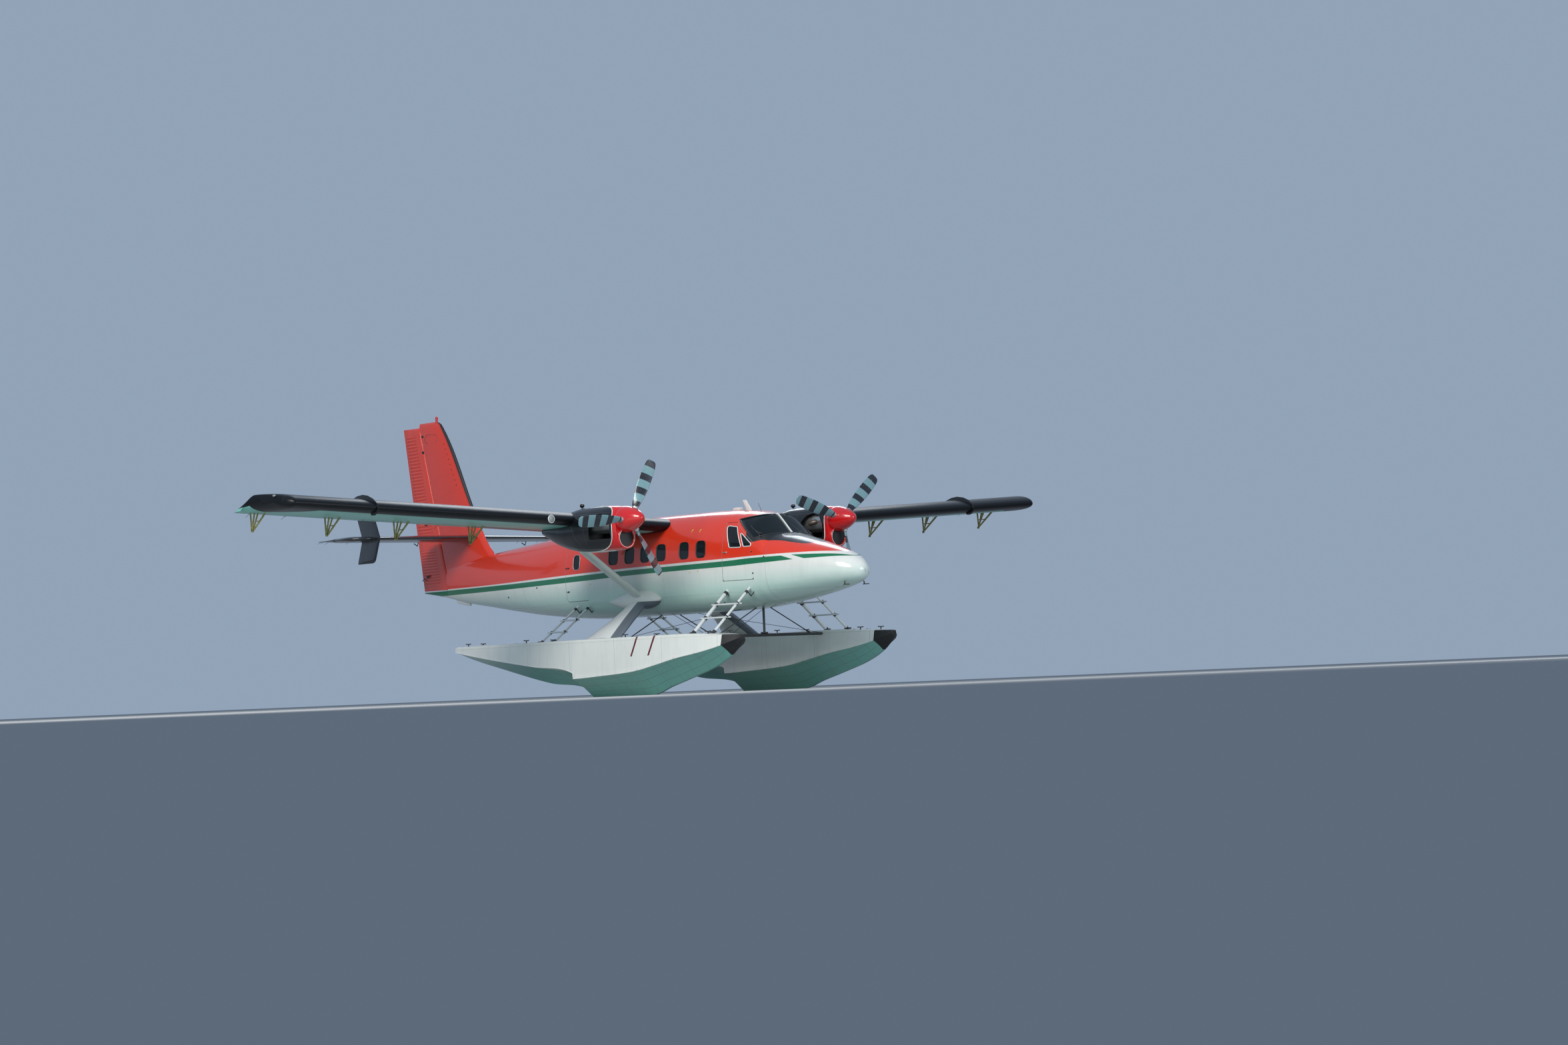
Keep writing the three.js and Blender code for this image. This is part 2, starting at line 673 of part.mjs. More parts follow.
function tailplaneHull(grow = 0) {
  const to = PLANE.hinge + planeHalf(PLANE.rootFront)(PLANE.hinge) + PLANE.gap;
  const row = (y) => {
    const t = Math.abs(y) / TAIL.halfSpan;
    const front = PLANE.rootFront + (PLANE.tipFront - PLANE.rootFront) * t;
    return planeRing(y, front, front, to - grow, grow);
  };
  return loft([row(-TAIL.halfSpan), row(0), row(TAIL.halfSpan)]);
}

// Hollow between the small fins, with a vent at the back that the fin covers.
function tailplaneRoom() {
  const ring = (y) => {
    const front = PLANE.rootFront + (PLANE.tipFront - PLANE.rootFront) * Math.abs(y) / TAIL.halfSpan;
    return hollowRing(front - 70, PLANE.hinge + 120, planeHalf(front), TAIL.finSkin,
      (x, z) => at(x, y, TAIL.planeZ + z));
  };
  const vent = block(PLANE.hinge + 40, PLANE.hinge + 150, -50, 50, TAIL.planeZ - 15, TAIL.planeZ + 15);
  return loft([ring(-PLANE.roomHalf), ring(0), ring(PLANE.roomHalf)]).add(vent);
}

function tailplane() {
  return tailplaneHull().subtract(tailplaneRoom())
    .subtract(prismY(offset(FINLET, SEAT_GAP), FINLET_Y.in - SEAT_GAP, FINLET_Y.out + SEAT_GAP))
    .subtract(prismY(offset(FINLET, SEAT_GAP), -FINLET_Y.out - SEAT_GAP, -FINLET_Y.in + SEAT_GAP));
}

function elevatorLeft() {
  const section = hingedSection(PLANE.hinge, PLANE.back, planeHalf(PLANE.rootFront));
  const ring = (y) => section.map(([x, z]) => at(x, y, TAIL.planeZ + z));
  const whole = loft([ring(PLANE.inner), ring(TAIL.halfSpan - 10)]);
  const cut = [[PLANE.hinge - 90, PLANE.inner - 5], [PLANE.back - 50, PLANE.inner - 5],
    [PLANE.back - 50, PLANE.innerBack]];
  const corner = loft([-1, 1].map((s) => cut.map(([x, y]) => at(x, y, TAIL.planeZ + s * 200))));
  const pin = bar(at(PLANE.hinge, PLANE.pinFrom, TAIL.planeZ), at(PLANE.hinge, PLANE.inner + 60, TAIL.planeZ), PLANE.pin);
  return whole.subtract(corner).add(pin);
}

// Small fins through the tailplane, the same above and below it.
const FINLET = [
  [-7400, 250], [-7620, -280], [-8270, -280], [-8070, 250], [-8270, 780], [-7620, 780],
];
const FINLET_Y = { in: 2594, out: 2606 };

function tailSection() {
  const cone = body(CABIN.shellBack - SEAT_GAP, TAIL.coneBack).subtract(rudderRoom())
    .subtract(body(CABIN.shellBack + 1, TAIL.boomBack, TAIL.coneWall));
  const stinger = loft([
    stingerRing(-8400, -900, 95, 150), stingerRing(-8900, -915, 70, 54), stingerRing(-9430, -878, 30, 16),
  ]);
  const bumper = loft([
    padRing(-7780, 30), padRing(-8000, 45), padRing(-8250, 30),
  ]);
  return union([cone, stinger, bumper]);
}

function stingerRing(x, z, half, deep) {
  const top = RUDDER.stingerTop;
  return [at(x, half, top), at(x, half, z), at(x, half * 0.5, z - deep), at(x, -half * 0.5, z - deep),
    at(x, -half, z), at(x, -half, top)];
}

function padRing(x, half) {
  const low = -1235 - (x + 7780) * 0.18;
  return [at(x, half, low + 120), at(x, half, low), at(x, -half, low), at(x, -half, low + 120)];
}

// Floats and what carries them

function floatAt(x) {
  const next = FLOAT_STATIONS.findIndex((row) => row[0] <= x);
  if (next <= 0) return FLOAT_STATIONS[0];
  const [a, b] = [FLOAT_STATIONS[next - 1], FLOAT_STATIONS[next]];
  const t = (x - a[0]) / (b[0] - a[0]);
  return a.map((value, column) => value + t * (b[column] - value));
}

function floatRing([x, keel, chine, half, deck, deckHalf]) {
  const right = [[KEEL_HALF, keel], [half, chine], [half - 4, chine + 40], [deckHalf, deck]];
  const left = [...right].reverse().map(([y, z]) => [-y, z]);
  return [...right, ...left].map(([y, z]) => at(x, FLOAT.y + y, z));
}

function hull(front, back) {
  const inner = FLOAT_STATIONS.filter((row) => row[0] < front && row[0] > back);
  const rows = [floatAt(front), ...inner, floatAt(back)];
  rows[0][0] = front;
  rows[rows.length - 1][0] = back;
  return loft(rows.map(floatRing));
}

const BUMPER_X = 3330;

function deckCut() {
  return block(-FAR, FAR, 0, FAR, -FAR, FLOAT.deckZ + SEAT_GAP);
}

function onFloatAndBody(manifold) {
  return manifold.subtract(deckCut()).subtract(body(5000, -8440, -SEAT_GAP));
}

// Faired leg from the fuselage down to the deck, with the fairing over its root.
const LEG = {
  top: { x: -860, y: 780, z: -1380 }, foot: { x: -900, y: 1900, z: -2230 },
  topSize: [560, 200], footSize: [1200, 230],
};
const FAIRING = [[-180, 15], [-330, 120], [-600, 190], [-1050, 190], [-1500, 110], [-1850, 15]];

function legLeft(grow = 0) {
  const more = ([chord, thick]) => [chord + 2 * grow, thick + 2 * grow];
  const main = oval(at(LEG.top.x, LEG.top.y, LEG.top.z), at(LEG.foot.x, LEG.foot.y, LEG.foot.z),
    more(LEG.topSize), more(LEG.footSize), 16);
  const rings = FAIRING.map(([x, radius]) => {
    const points = [];
    for (let i = 0; i < 14; i += 1) {
      const angle = 2 * Math.PI * i / 14;
      points.push(at(x, 830 + (radius + grow) * Math.cos(angle), -1400 + (radius + grow) * Math.sin(angle)));
    }
    return points;
  });
  return onFloatAndBody(main.add(loft(rings)));
}

const STRUT = { foot: at(-760, 905, -1360), top: at(-560, 2680, -250), size: [320, 105] };

function wingStrutLeft() {
  return oval(STRUT.foot, STRUT.top, STRUT.size, STRUT.size, 14)
    .subtract(nacelleHull(-SEAT_GAP)).subtract(legLeft(SEAT_GAP)).subtract(body(5000, -8440, -SEAT_GAP))
    .subtract(wing(SEAT_GAP));
}

// Ladders: two rails from deck to fuselage and steps that join them.
const LADDERS = {
  front: {
    rails: [[1900, 1870], [2520, 2500]], foot: { y: 1770, z: -2200 }, top: { y: 700, z: -1250 },
    rail: [80, 44], steps: [0.32, 0.6], step: [56, 26, 90],
  },
  rear: {
    rails: [[-3010, -2990], [-2560, -2600]], foot: { y: 1760, z: -2200 }, top: { y: 680, z: -1380 },
    rail: [46, 36], steps: [0.25, 0.55], step: [50, 24, 60],
  },
};

function ladderLeft({ rails, foot, top, rail, steps, step }) {
  const pieces = rails.map(([footX, topX]) => oval(at(footX, foot.y, foot.z), at(topX, top.y, top.z), rail, rail));
  for (const t of steps) {
    const y = foot.y + (top.y - foot.y) * t;
    const z = foot.z + (top.z - foot.z) * t;
    const [half, thick, over] = step;
    const xs = rails.map(([footX, topX]) => footX + (topX - footX) * t);
    pieces.push(block(Math.min(...xs) - over, Math.max(...xs) + over, y - half, y + half, z - thick / 2, z + thick / 2));
  }
  return onFloatAndBody(union(pieces));
}

// Cross bars between the floats, with the post and braces under the fuselage.
const FRAMES = { front: { x: 2000, bar: [120, 60] }, rear: { x: -900, bar: [120, 60] } };
const BAR_Z = -2235;
const BRACE = { foot: 1250, radius: 13, top: 90 };

function spreader({ x, bar: size }, post) {
  const half = FLOAT.y - 420;
  const pieces = [oval(at(x, -half, BAR_Z), at(x, half, BAR_Z), size, size, 10)];
  if (post) pieces.push(bar(at(x, 0, BAR_Z), at(x, 0, -1600), 24, 24, 8));
  for (const side of [1, -1]) {
    pieces.push(bar(at(x, side * BRACE.foot, BAR_Z), at(x, side * BRACE.top, -1620), BRACE.radius, BRACE.radius, 8));
  }
  const floats = hull(BUMPER_X, -5480);
  return union(pieces).subtract(body(5000, -8440, -SEAT_GAP))
    .subtract(floats.translate([0, -SEAT_GAP, 0])).subtract(mirrored(floats).translate([0, SEAT_GAP, 0]));
}

// Fuselage pieces

function cabinVoid(slack = 0) {
  return body(CABIN.front, CABIN.back, WALL + slack)
    .subtract(block(-FAR, FAR, -FAR, FAR, -FAR, CABIN.floorZ - CABIN.floorThick))
    .subtract(block(CABIN.ceilingBack, CABIN.ceilingFront, -FAR, FAR, CABIN.ceilingZ, FAR));
}

function doorLeaf(outline, side, panes, glassOutline, front, back) {
  const wall = body(front, back).subtract(body(front, back, WALL));
  let leaf = wall.intersect(sidePrism(outline, side));
  for (const outlineOfPane of panes) leaf = leaf.subtract(sidePrism(outlineOfPane, side));
  return glassOutline ? leaf.subtract(glass(glassOutline, side, front, back, SEAT_GAP)) : leaf;
}

function cabinShell() {
  let shell = body(CABIN.shellFront, CABIN.shellBack).subtract(cabinVoid()).subtract(wing(SEAT_GAP));
  for (const side of [1, -1]) {
    shell = shell.subtract(sidePrism(CREW_OPENING, side));
    for (const outline of CABIN_PANES) shell = shell.subtract(sidePrism(outline, side));
    shell = shell.subtract(glass(paneStrip(CABIN_PANES), side, 1500, -2000, SEAT_GAP));
    const screen = prismY(WINDSCREEN, CENTRE_POST, FAR);
    shell = shell.subtract(side > 0 ? screen : mirrored(screen));
  }
  return shell
    .subtract(sidePrism(REAR_DOOR.left, 1))
    .subtract(sidePrism(REAR_DOOR.right, -1))
    .subtract(sidePrism(BAGGAGE_DOOR, 1))
    .subtract(windscreenGlass(SEAT_GAP));
}

function windscreenGlass(slack = 0) {
  const layer = body(3000, 1900, GLASS.outer - slack).subtract(body(3000, 1900, GLASS.inner + slack));
  return layer.intersect(prismY(offset(WINDSCREEN, 18 + slack), -FAR, FAR));
}

// Prism whose sides run square to the tapering nose, so that a leaf in it can swing out.
function nosePrism(outline) {
  const ring = (y) => outline.map(([x, z]) => at(x + (y - NOSE.doorY) * NOSE.taper, y, z));
  return loft([ring(300), ring(1300)]);
}

function noseSection() {
  const bay = body(NOSE.bayFront, NOSE.bayBack, NOSE.wall);
  return body(STATIONS[0][0], CABIN.shellFront + SEAT_GAP).subtract(bay).subtract(nosePrism(NOSE_DOOR));
}

// Hinged at its top edge
function noseDoor() {
  const [[x0, z0], , [x1, z1]] = NOSE_DOOR;
  const wall = body(x1 + 200, x0 - 200).subtract(body(x1 + 200, x0 - 200, NOSE.wall));
  return wall.intersect(nosePrism(rectangle(x0 + RIM_GAP, x1 - RIM_GAP, z0 + RIM_GAP, z1 - SEAT_GAP)));
}

function fitted(front, back, bottom, top) {
  return cabinVoid(SEAT_GAP).intersect(block(back, front, -FAR, FAR, bottom, top));
}

function seat(x, y, width) {
  const z = CABIN.floorZ + SEAT_GAP;
  return union([
    block(x - 20, x + 430, y - width / 2, y + width / 2, z + 330, z + 430),
    block(x - 110, x - 10, y - width / 2, y + width / 2, z + 330, z + 960),
    block(x - 30, x + 10, y - width / 2, y + width / 2, z + 330, z + 430),
    block(x + 40, x + 360, y - 130, y - 100, z + 20, z + 340),
    block(x + 40, x + 360, y + 100, y + 130, z + 20, z + 340),
  ]);
}

function seatRow(places, railYs, front, back) {
  const z = CABIN.floorZ + SEAT_GAP;
  const rails = railYs.map((y) => block(back, front, y - 25, y + 25, z, z + 25));
  const ties = [block(back, back + 60, Math.min(...railYs), Math.max(...railYs), z, z + 25)];
  return union([...places.map(([x, y, width]) => seat(x, y, width)), ...rails, ...ties]);
}

const CABIN_ROWS = [650, -120, -890, -1660];
const FLOOR_BOTTOM = CABIN.floorZ - CABIN.floorThick + SEAT_GAP;

// Instrument panel with its shelf, narrower where the crew doors swing past its ends.
const DOOR_ROOM = 45;

function instrumentPanel() {
  const room = cabinVoid(DOOR_ROOM);
  const panel = room.intersect(block(2560, 2640, -FAR, FAR, -760, -330));
  const shelf = room.intersect(block(2639, 2701, -FAR, FAR, -420, -400));
  return union([panel, shelf, fitted(2939, 2700, -420, -400)]);
}

// Finish of each piece
const PAINT = {
  orange: [0xe8371f, 0.25, 0.0], white: [0xf1f1ee, 0.3, 0.0], black: [0x15161a, 0.3, 0.0],
  glass: [0x1a2228, 0.08, 0.0], rubber: [0x101010, 0.8, 0.0], grey: [0x9aa3a0, 0.35, 0.0],
  metal: [0xc8c8c4, 0.4, 0.8], seat: [0x4b4f57, 0.9, 0.0],
};

const object = new THREE.Group();
object.position.copy(DATUM);

function place(name, manifold, paint) {
  const [color, roughness, metalness] = PAINT[paint];
  const mesh = new THREE.Mesh(geometryOf(manifold), new THREE.MeshStandardMaterial({ color, roughness, metalness }));
  mesh.name = name;
  object.add(mesh);
}

function placePair(name, left, paint) {
  place(`${name}_left`, left, paint);
  place(`${name}_right`, mirrored(left), paint);
}

place('nose_section', noseSection(), 'white');
place('nose_bay_door', noseDoor(), 'white');
place('cabin_shell', cabinShell(), 'orange');
place('tail_section', tailSection(), 'orange');
place('windscreen', windscreenGlass(), 'glass');
place('instrument_panel', instrumentPanel(), 'black');
place('cabin_floor', fitted(2500, CABIN.frameBack + SEAT_GAP, FLOOR_BOTTOM, CABIN.floorZ), 'grey');
place('rear_bulkhead', fitted(CABIN.frameBack, CABIN.frameBack - CABIN.floorThick, FLOOR_BOTTOM, FAR), 'grey');
place('pilot_seats', seatRow([[1700, 350, 440], [1700, -350, 440]], [-465, -235, 235, 465], 2100, 1600), 'seat');
place('cabin_seats_left', seatRow(CABIN_ROWS.map((x) => [x, 420, 430]), [305, 535], 1150, -1800), 'seat');
place('cabin_seats_right', seatRow(CABIN_ROWS.map((x) => [x, -420, 430]), [-535, -305], 1150, -1800), 'seat');
placePair('cabin_windows', glass(paneStrip(CABIN_PANES), 1, 1500, -2000), 'glass');
placePair('crew_door', doorLeaf(CREW_DOOR, 1, CREW_PANES, CREW_GLASS, 2700, 1700), 'orange');
placePair('crew_door_glass', glass(CREW_GLASS, 1, 2700, 1700), 'glass');
for (const [name, side] of [['left', 1], ['right', -1]]) {
  const strip = paneStrip([REAR_PANE]);
  const leaf = doorLeaf(doorIn(REAR_DOOR[name]), side, [REAR_PANE], strip, -2400, -3400);
  place(`rear_door_${name}`, leaf, 'orange');
  place(`rear_door_glass_${name}`, glass(strip, side, -2400, -3400), 'glass');
}
place('baggage_door', doorLeaf(doorIn(BAGGAGE_DOOR), 1, [], null, -3800, -4700), 'orange');

place('wing', wingWhole(), 'black');
placePair('wing_tip', tipLeft(), 'black');
placePair('flap', flapLeft(), 'black');
placePair('aileron', aileronLeft(), 'black');
placePair('engine_cowl', nacelleLeft(), 'black');
placePair('engine', engineLeft(), 'metal');
place('propeller_left', propeller(NACELLE.y, BLADE_PHASE.left), 'black');
place('propeller_right', propeller(-NACELLE.y, BLADE_PHASE.right), 'black');
placePair('wing_strut', wingStrutLeft(), 'grey');

place('fin', fin(), 'orange');
place('rudder', rudder(), 'orange');
place('tailplane', tailplane(), 'black');
placePair('elevator', elevatorLeft(), 'black');
placePair('finlet', prismY(FINLET, FINLET_Y.in, FINLET_Y.out), 'black');

placePair('float', hull(BUMPER_X - SEAT_GAP, -5480), 'white');
placePair('bow_bumper', hull(3640, BUMPER_X), 'rubber');
placePair('float_leg', legLeft(), 'white');
placePair('front_ladder', ladderLeft(LADDERS.front), 'metal');
placePair('rear_ladder', ladderLeft(LADDERS.rear), 'metal');
place('front_spreader', spreader(FRAMES.front, true), 'grey');
place('rear_spreader', spreader(FRAMES.rear, false), 'grey');

export default object;
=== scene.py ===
# %% [markdown]
# # A twin-engined floatplane, finished in Blender
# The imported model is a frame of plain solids, each at its true size and place. This script keeps that
# frame and lays a finished skin over it: smooth lofted panels, glazing, ladders, antennas and paint.
# Lengths of shapes are in millimetres in the airframe's own axes, with X forward, Y to port and Z up
# from the wing's leading edge on the centreline, because those are easy to read off a drawing. One helper
# turns them into the frame's metres. Paint edges and the sizes of small bars are in metres.

# %% Load the frame
import math

import bpy
import numpy as np
from mathutils import Euler, Matrix, Vector


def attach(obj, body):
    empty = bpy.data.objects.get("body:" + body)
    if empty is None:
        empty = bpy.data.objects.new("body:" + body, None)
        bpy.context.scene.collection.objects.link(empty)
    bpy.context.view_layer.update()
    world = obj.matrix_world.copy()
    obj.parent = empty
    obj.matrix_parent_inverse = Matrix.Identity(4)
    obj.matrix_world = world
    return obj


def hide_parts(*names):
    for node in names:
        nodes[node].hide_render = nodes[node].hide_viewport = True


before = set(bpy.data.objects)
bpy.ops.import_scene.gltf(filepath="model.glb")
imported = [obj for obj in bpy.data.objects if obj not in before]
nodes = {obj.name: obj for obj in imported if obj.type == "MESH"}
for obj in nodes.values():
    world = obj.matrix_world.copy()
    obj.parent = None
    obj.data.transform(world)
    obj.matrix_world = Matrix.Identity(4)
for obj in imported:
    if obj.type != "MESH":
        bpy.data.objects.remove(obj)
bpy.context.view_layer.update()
bpy.ops.object.select_all(action="DESELECT")

# %% [markdown]
# ## Camera, floor and light
# The photograph was taken from low down, three quarters from the front on the starboard side, with a
# long lens. The place below was solved from points on the aircraft, with the camera held at floor level.
# A long lens and a distance of about 78 m give the same flat perspective as the picture.

# %% Camera
CAMERA_PLACE = (60.8244, -48.6638, 0.06)
CAMERA_TURN = (92.50828, 2.37369, 48.90812)
CAMERA_LENS = 85.8425

camera_data = bpy.data.cameras.new("photo_camera")
camera_data.sensor_width = 36
camera_data.lens = CAMERA_LENS
camera_data.clip_end = 1000
camera = bpy.data.objects.new("photo_camera", camera_data)
camera.location = CAMERA_PLACE
camera.rotation_euler = Euler([math.radians(angle) for angle in CAMERA_TURN])
bpy.context.scene.collection.objects.link(camera)
bpy.context.scene.camera = camera

# %% [markdown]
# The light is one large soft panel high on the camera's side, where the sun stood, a weaker one from
# the other side, and an even pale sky. A green-blue panel near the floor stands for the light that shallow
# water throws up under wings and floats. Glossy black paint needs large panels: it shows their reflections.

# %% Floor, sky and lamps
def lamp(name, place, target, size, watts, colour):
    data = bpy.data.lights.new(name, "AREA")
    data.shape = "RECTANGLE"
    data.size, data.size_y = size
    data.energy = watts
    data.color = colour
    thing = bpy.data.objects.new(name, data)
    thing.location = place
    thing.rotation_euler = (Vector(target) - Vector(place)).to_track_quat("-Z", "Y").to_euler()
    bpy.context.scene.collection.objects.link(thing)


lamp("sun_panel", (14, -24, 20), (0, 0, 3), (14, 12), 6800, (1.0, 0.96, 0.9))
lamp("bow_panel", (28, 2, 8), (0, 0, 3), (12, 8), 1500, (0.95, 0.98, 1.0))
lamp("back_panel", (-18, 18, 20), (0, 0, 3), (14, 10), 1600, (0.9, 0.95, 1.0))
lamp("water_bounce", (8, -16, 0.4), (0, -2, 3.6), (22, 10), 380, (0.40, 0.95, 0.82))

sky = bpy.data.worlds.new("pale_sky")
sky.use_nodes = True
background = sky.node_tree.nodes["Background"].inputs
background["Color"].default_value = (0.36, 0.46, 0.60, 1)
background["Strength"].default_value = 0.8
bpy.context.scene.world = sky
bpy.context.scene.view_settings.view_transform = "Standard"

bpy.ops.mesh.primitive_plane_add(size=400, location=(0, 0, -0.001))
floor = bpy.context.object
floor.name = "floor"
floor_paint = bpy.data.materials.new("floor_paint")
floor_paint.use_nodes = True
floor_look = {"Base Color": (0.38, 0.39, 0.40, 1), "Roughness": 0.9, "Specular IOR Level": 0.0}
for name, value in floor_look.items():
    floor_paint.node_tree.nodes["Principled BSDF"].inputs[name].default_value = value
floor.data.materials.append(floor_paint)

# %% [markdown]
# ## Procedural finishes
# A finish is a node tree. Writing each Math node by hand hides the idea, so a small class wraps a number
# socket and lets ordinary operators add the nodes. Colours are mixed, never put through Math.

# %% Numbers as expressions
class Signal:
    """A number socket that grows Math nodes when it is used in an expression."""

    def __init__(self, finish, socket):
        self.finish, self.socket = finish, socket

    def math(self, operation, *others):
        values = {0: self, **{index + 1: other for index, other in enumerate(others)}}
        node = self.finish.node("ShaderNodeMath", {"operation": operation}, values)
        return Signal(self.finish, node.outputs[0])

    def __add__(self, other):
        return self.math("ADD", other)

    def __sub__(self, other):
        return self.math("SUBTRACT", other)

    def __rsub__(self, other):
        return (self * -1).math("ADD", other)

    def __mul__(self, other):
        return self.math("MULTIPLY", other)

    def __truediv__(self, other):
        return self.math("DIVIDE", other)

    __radd__, __rmul__ = __add__, __mul__

    def above(self, edge, soft=0.002):
        """1 where this is over the edge and 0 under it, with a soft step between."""
        return (self - edge).math("DIVIDE", soft).math("ADD", 0.5).math("MINIMUM", 1).math("MAXIMUM", 0)

    def below(self, edge, soft=0.002):
        return 1 - self.above(edge, soft)

    def between(self, low, high, soft=0.002):
        return self.above(low, soft) * self.below(high, soft)

    def near(self, centre, width, soft=0.0015):
        return (self - centre).math("ABSOLUTE").below(width / 2, soft)

    def every(self, pitch, width, soft=0.0015):
        """Thin lines at every multiple of the pitch."""
        folded = (self / pitch).math("FRACT").math("SUBTRACT", 0.5).math("ABSOLUTE") * pitch
        return folded.above(pitch / 2 - width / 2, soft)

    def either(self, other):
        return self.math("MAXIMUM", other)


class Finish:
    """A material: base look, places to read coordinates from, and one method for any node."""

    def __init__(self, name, colour, roughness, metallic=0.0, coat=0.0, **constants):
        self.material = bpy.data.materials.new(name)
        self.material.use_nodes = True
        self.material.node_tree.nodes.clear()
        self.colour, self.roughness = colour, roughness
        sockets = {"Base Color": colour, "Roughness": roughness, "Metallic": metallic, "Coat Weight": coat}
        sockets["Coat Roughness"] = 0.06
        self.shader = self.node("ShaderNodeBsdfPrincipled", {}, {**sockets, **constants})
        self.node("ShaderNodeOutputMaterial", {}, {"Surface": self.shader.outputs[0]})
        self.where = self.node("ShaderNodeTexCoord").outputs["Object"]
        axes = self.node("ShaderNodeSeparateXYZ", {}, {0: self.where}).outputs
        self.x, self.y, self.z = (Signal(self, axis) for axis in axes)

    def connect(self, node, name, value):
        """Links a signal or a socket to an input, or sets the input to a plain value."""
        value = value.socket if isinstance(value, Signal) else value
        if isinstance(value, bpy.types.NodeSocket):
            self.material.node_tree.links.new(value, node.inputs[name])
        else:
            colour = isinstance(value, tuple) and len(value) == 3 and node.inputs[name].type == "RGBA"
            node.inputs[name].default_value = (*value, 1) if colour else value

    def node(self, kind, settings=None, sockets=None):
        node = self.material.node_tree.nodes.new(kind)
        for name, value in (settings or {}).items():
            setattr(node, name, value)
        for name, value in (sockets or {}).items():
            self.connect(node, name, value)
        return node

    def place(self, stretch):
        return self.node("ShaderNodeMapping", {}, {0: self.where, "Scale": stretch}).outputs[0]

    def noise(self, scale, detail=3, stretch=(1, 1, 1), low=0.35, high=0.65):
        """Cloudy noise spread over 0 to 1."""
        sockets = {"Vector": self.place(stretch), "Scale": scale, "Detail": detail}
        cloud = self.node("ShaderNodeTexNoise", {}, sockets)
        ramp = self.node("ShaderNodeValToRGB", {}, {0: cloud.outputs[0]})
        for element, position in zip(ramp.color_ramp.elements, (low, high)):
            element.position = position
        return Signal(self, ramp.outputs[0])

    def mix(self, amount, first, second):
        node = self.node("ShaderNodeMix", {"data_type": "RGBA"}, {0: amount, 6: first, 7: second})
        return node.outputs[2]

    def paint(self, amount, colour):
        """Lays a colour over what is there so far, where the amount is 1."""
        self.colour = self.mix(amount, self.colour, colour)
        return self

    def rough(self, amount, value):
        if isinstance(self.roughness, Signal):
            self.roughness = self.roughness * (1 - amount) + amount * value
        else:
            self.roughness = amount * (value - self.roughness) + self.roughness
        return self

    def relief(self, height, depth, strength=1.0, under=None):
        sockets = {"Height": height, "Distance": depth, "Strength": strength}
        if under is not None:
            sockets["Normal"] = under
        return self.node("ShaderNodeBump", {}, sockets).outputs[0]

    def done(self, normal=None):
        self.connect(self.shader, "Base Color", self.colour)
        self.connect(self.shader, "Roughness", self.roughness)
        if normal is not None:
            self.connect(self.shader, "Normal", normal)
        return self.material


# %% [markdown]
# ## Colours
# The paint is bright orange-red over white, with a white and a green line between them that rise
# gently towards the nose. The numbers are linear light, not screen values.

# %% Colours
ORANGE = (0.74, 0.040, 0.014)
RED = (0.62, 0.008, 0.010)
WHITE = (0.76, 0.76, 0.72)
GREEN = (0.004, 0.155, 0.065)
BLACK = (0.004, 0.005, 0.007)
PALE_BAND = (0.17, 0.31, 0.34)
# Pale paint with a painted reflection of the water's green-blue light in it, for the wing's underside, the
# outer flaps' underside and the float bottoms.
PALE_WITH_WATER_REFLECTION = (0.20, 0.50, 0.43)
DIRT = (0.16, 0.13, 0.10)
MAROON = (0.13, 0.006, 0.016)
YELLOW = (0.75, 0.48, 0.03)

AHEAD, ABOVE = 2.5, 3.33
PAINT_EDGE = 0.004


def row(points):
    """Airframe millimetres to the frame's metres."""
    return np.asarray(points, float) / 1000 + (AHEAD, 0, ABOVE)


# %% [markdown]
# ## Skins
# An aircraft's skin is a row of cross-sections joined lengthways. The tables give each section, and a
# curve that never overshoots runs between their rows, so a coarse table still gives a fair, smooth skin.

# %% Curves between the rows of a table
def rows_at(table, x):
    """The columns of a table at one X, on a smooth curve through its rows."""
    rows = np.array(sorted(table), float)
    xs, values = rows[:, 0], rows[:, 1:]
    step = np.diff(xs)[:, None]
    slope = np.diff(values, axis=0) / step
    tangent = np.zeros_like(values)
    tangent[0], tangent[-1] = slope[0], slope[-1]
    same = slope[:-1] * slope[1:] > 0
    before, after = 2 * step[1:] + step[:-1], step[1:] + 2 * step[:-1]
    safe = np.where(same, slope[:-1], 1), np.where(same, slope[1:], 1)
    tangent[1:-1] = np.where(same, (before + after) / (before / safe[0] + after / safe[1]), 0)
    x = min(max(x, xs[0]), xs[-1])
    i = min(max(int(np.searchsorted(xs, x)) - 1, 0), len(xs) - 2)
    h = step[i, 0]
    t = (x - xs[i]) / h
    return ((2 * t**3 - 3 * t**2 + 1) * values[i] + (t**3 - 2 * t**2 + t) * h * tangent[i]
            + (3 * t**2 - 2 * t**3) * values[i + 1] + (t**3 - t**2) * h * tangent[i + 1])


def even(points, count, closed=False):
    """The same path with its points evenly spaced."""
    points = np.asarray(points, float)
    if closed:
        points = np.vstack([points, points[:1]])
    run = np.concatenate([[0], np.cumsum(np.linalg.norm(np.diff(points, axis=0), axis=1))])
    where = np.linspace(0, run[-1], count + (1 if closed else 0))
    if closed:
        where = where[:-1]
    return np.stack([np.interp(where, run, axis) for axis in points.T], axis=1)


def turns(count):
    """Angles once round, without the last, which is the first again."""
    return np.linspace(0, 2 * math.pi, count, endpoint=False)


def columns(*values):
    """Points from columns of coordinates, any of which may be one number."""
    return np.stack(np.broadcast_arrays(*values), axis=1)


def hoop(centre, radius, count, ahead=0.0):
    """A circle across X, in metres, moved forwards by a distance."""
    return [centre + (ahead, radius * math.cos(a), radius * math.sin(a)) for a in turns(count)]


def there_and_back(out, home):
    """A ring that runs along one face and returns along the other, from their X, Y and Z columns."""
    return row(np.vstack([columns(*out), columns(*home)[::-1]]))


def power(value, exponent):
    return np.sign(value) * np.abs(value) ** exponent


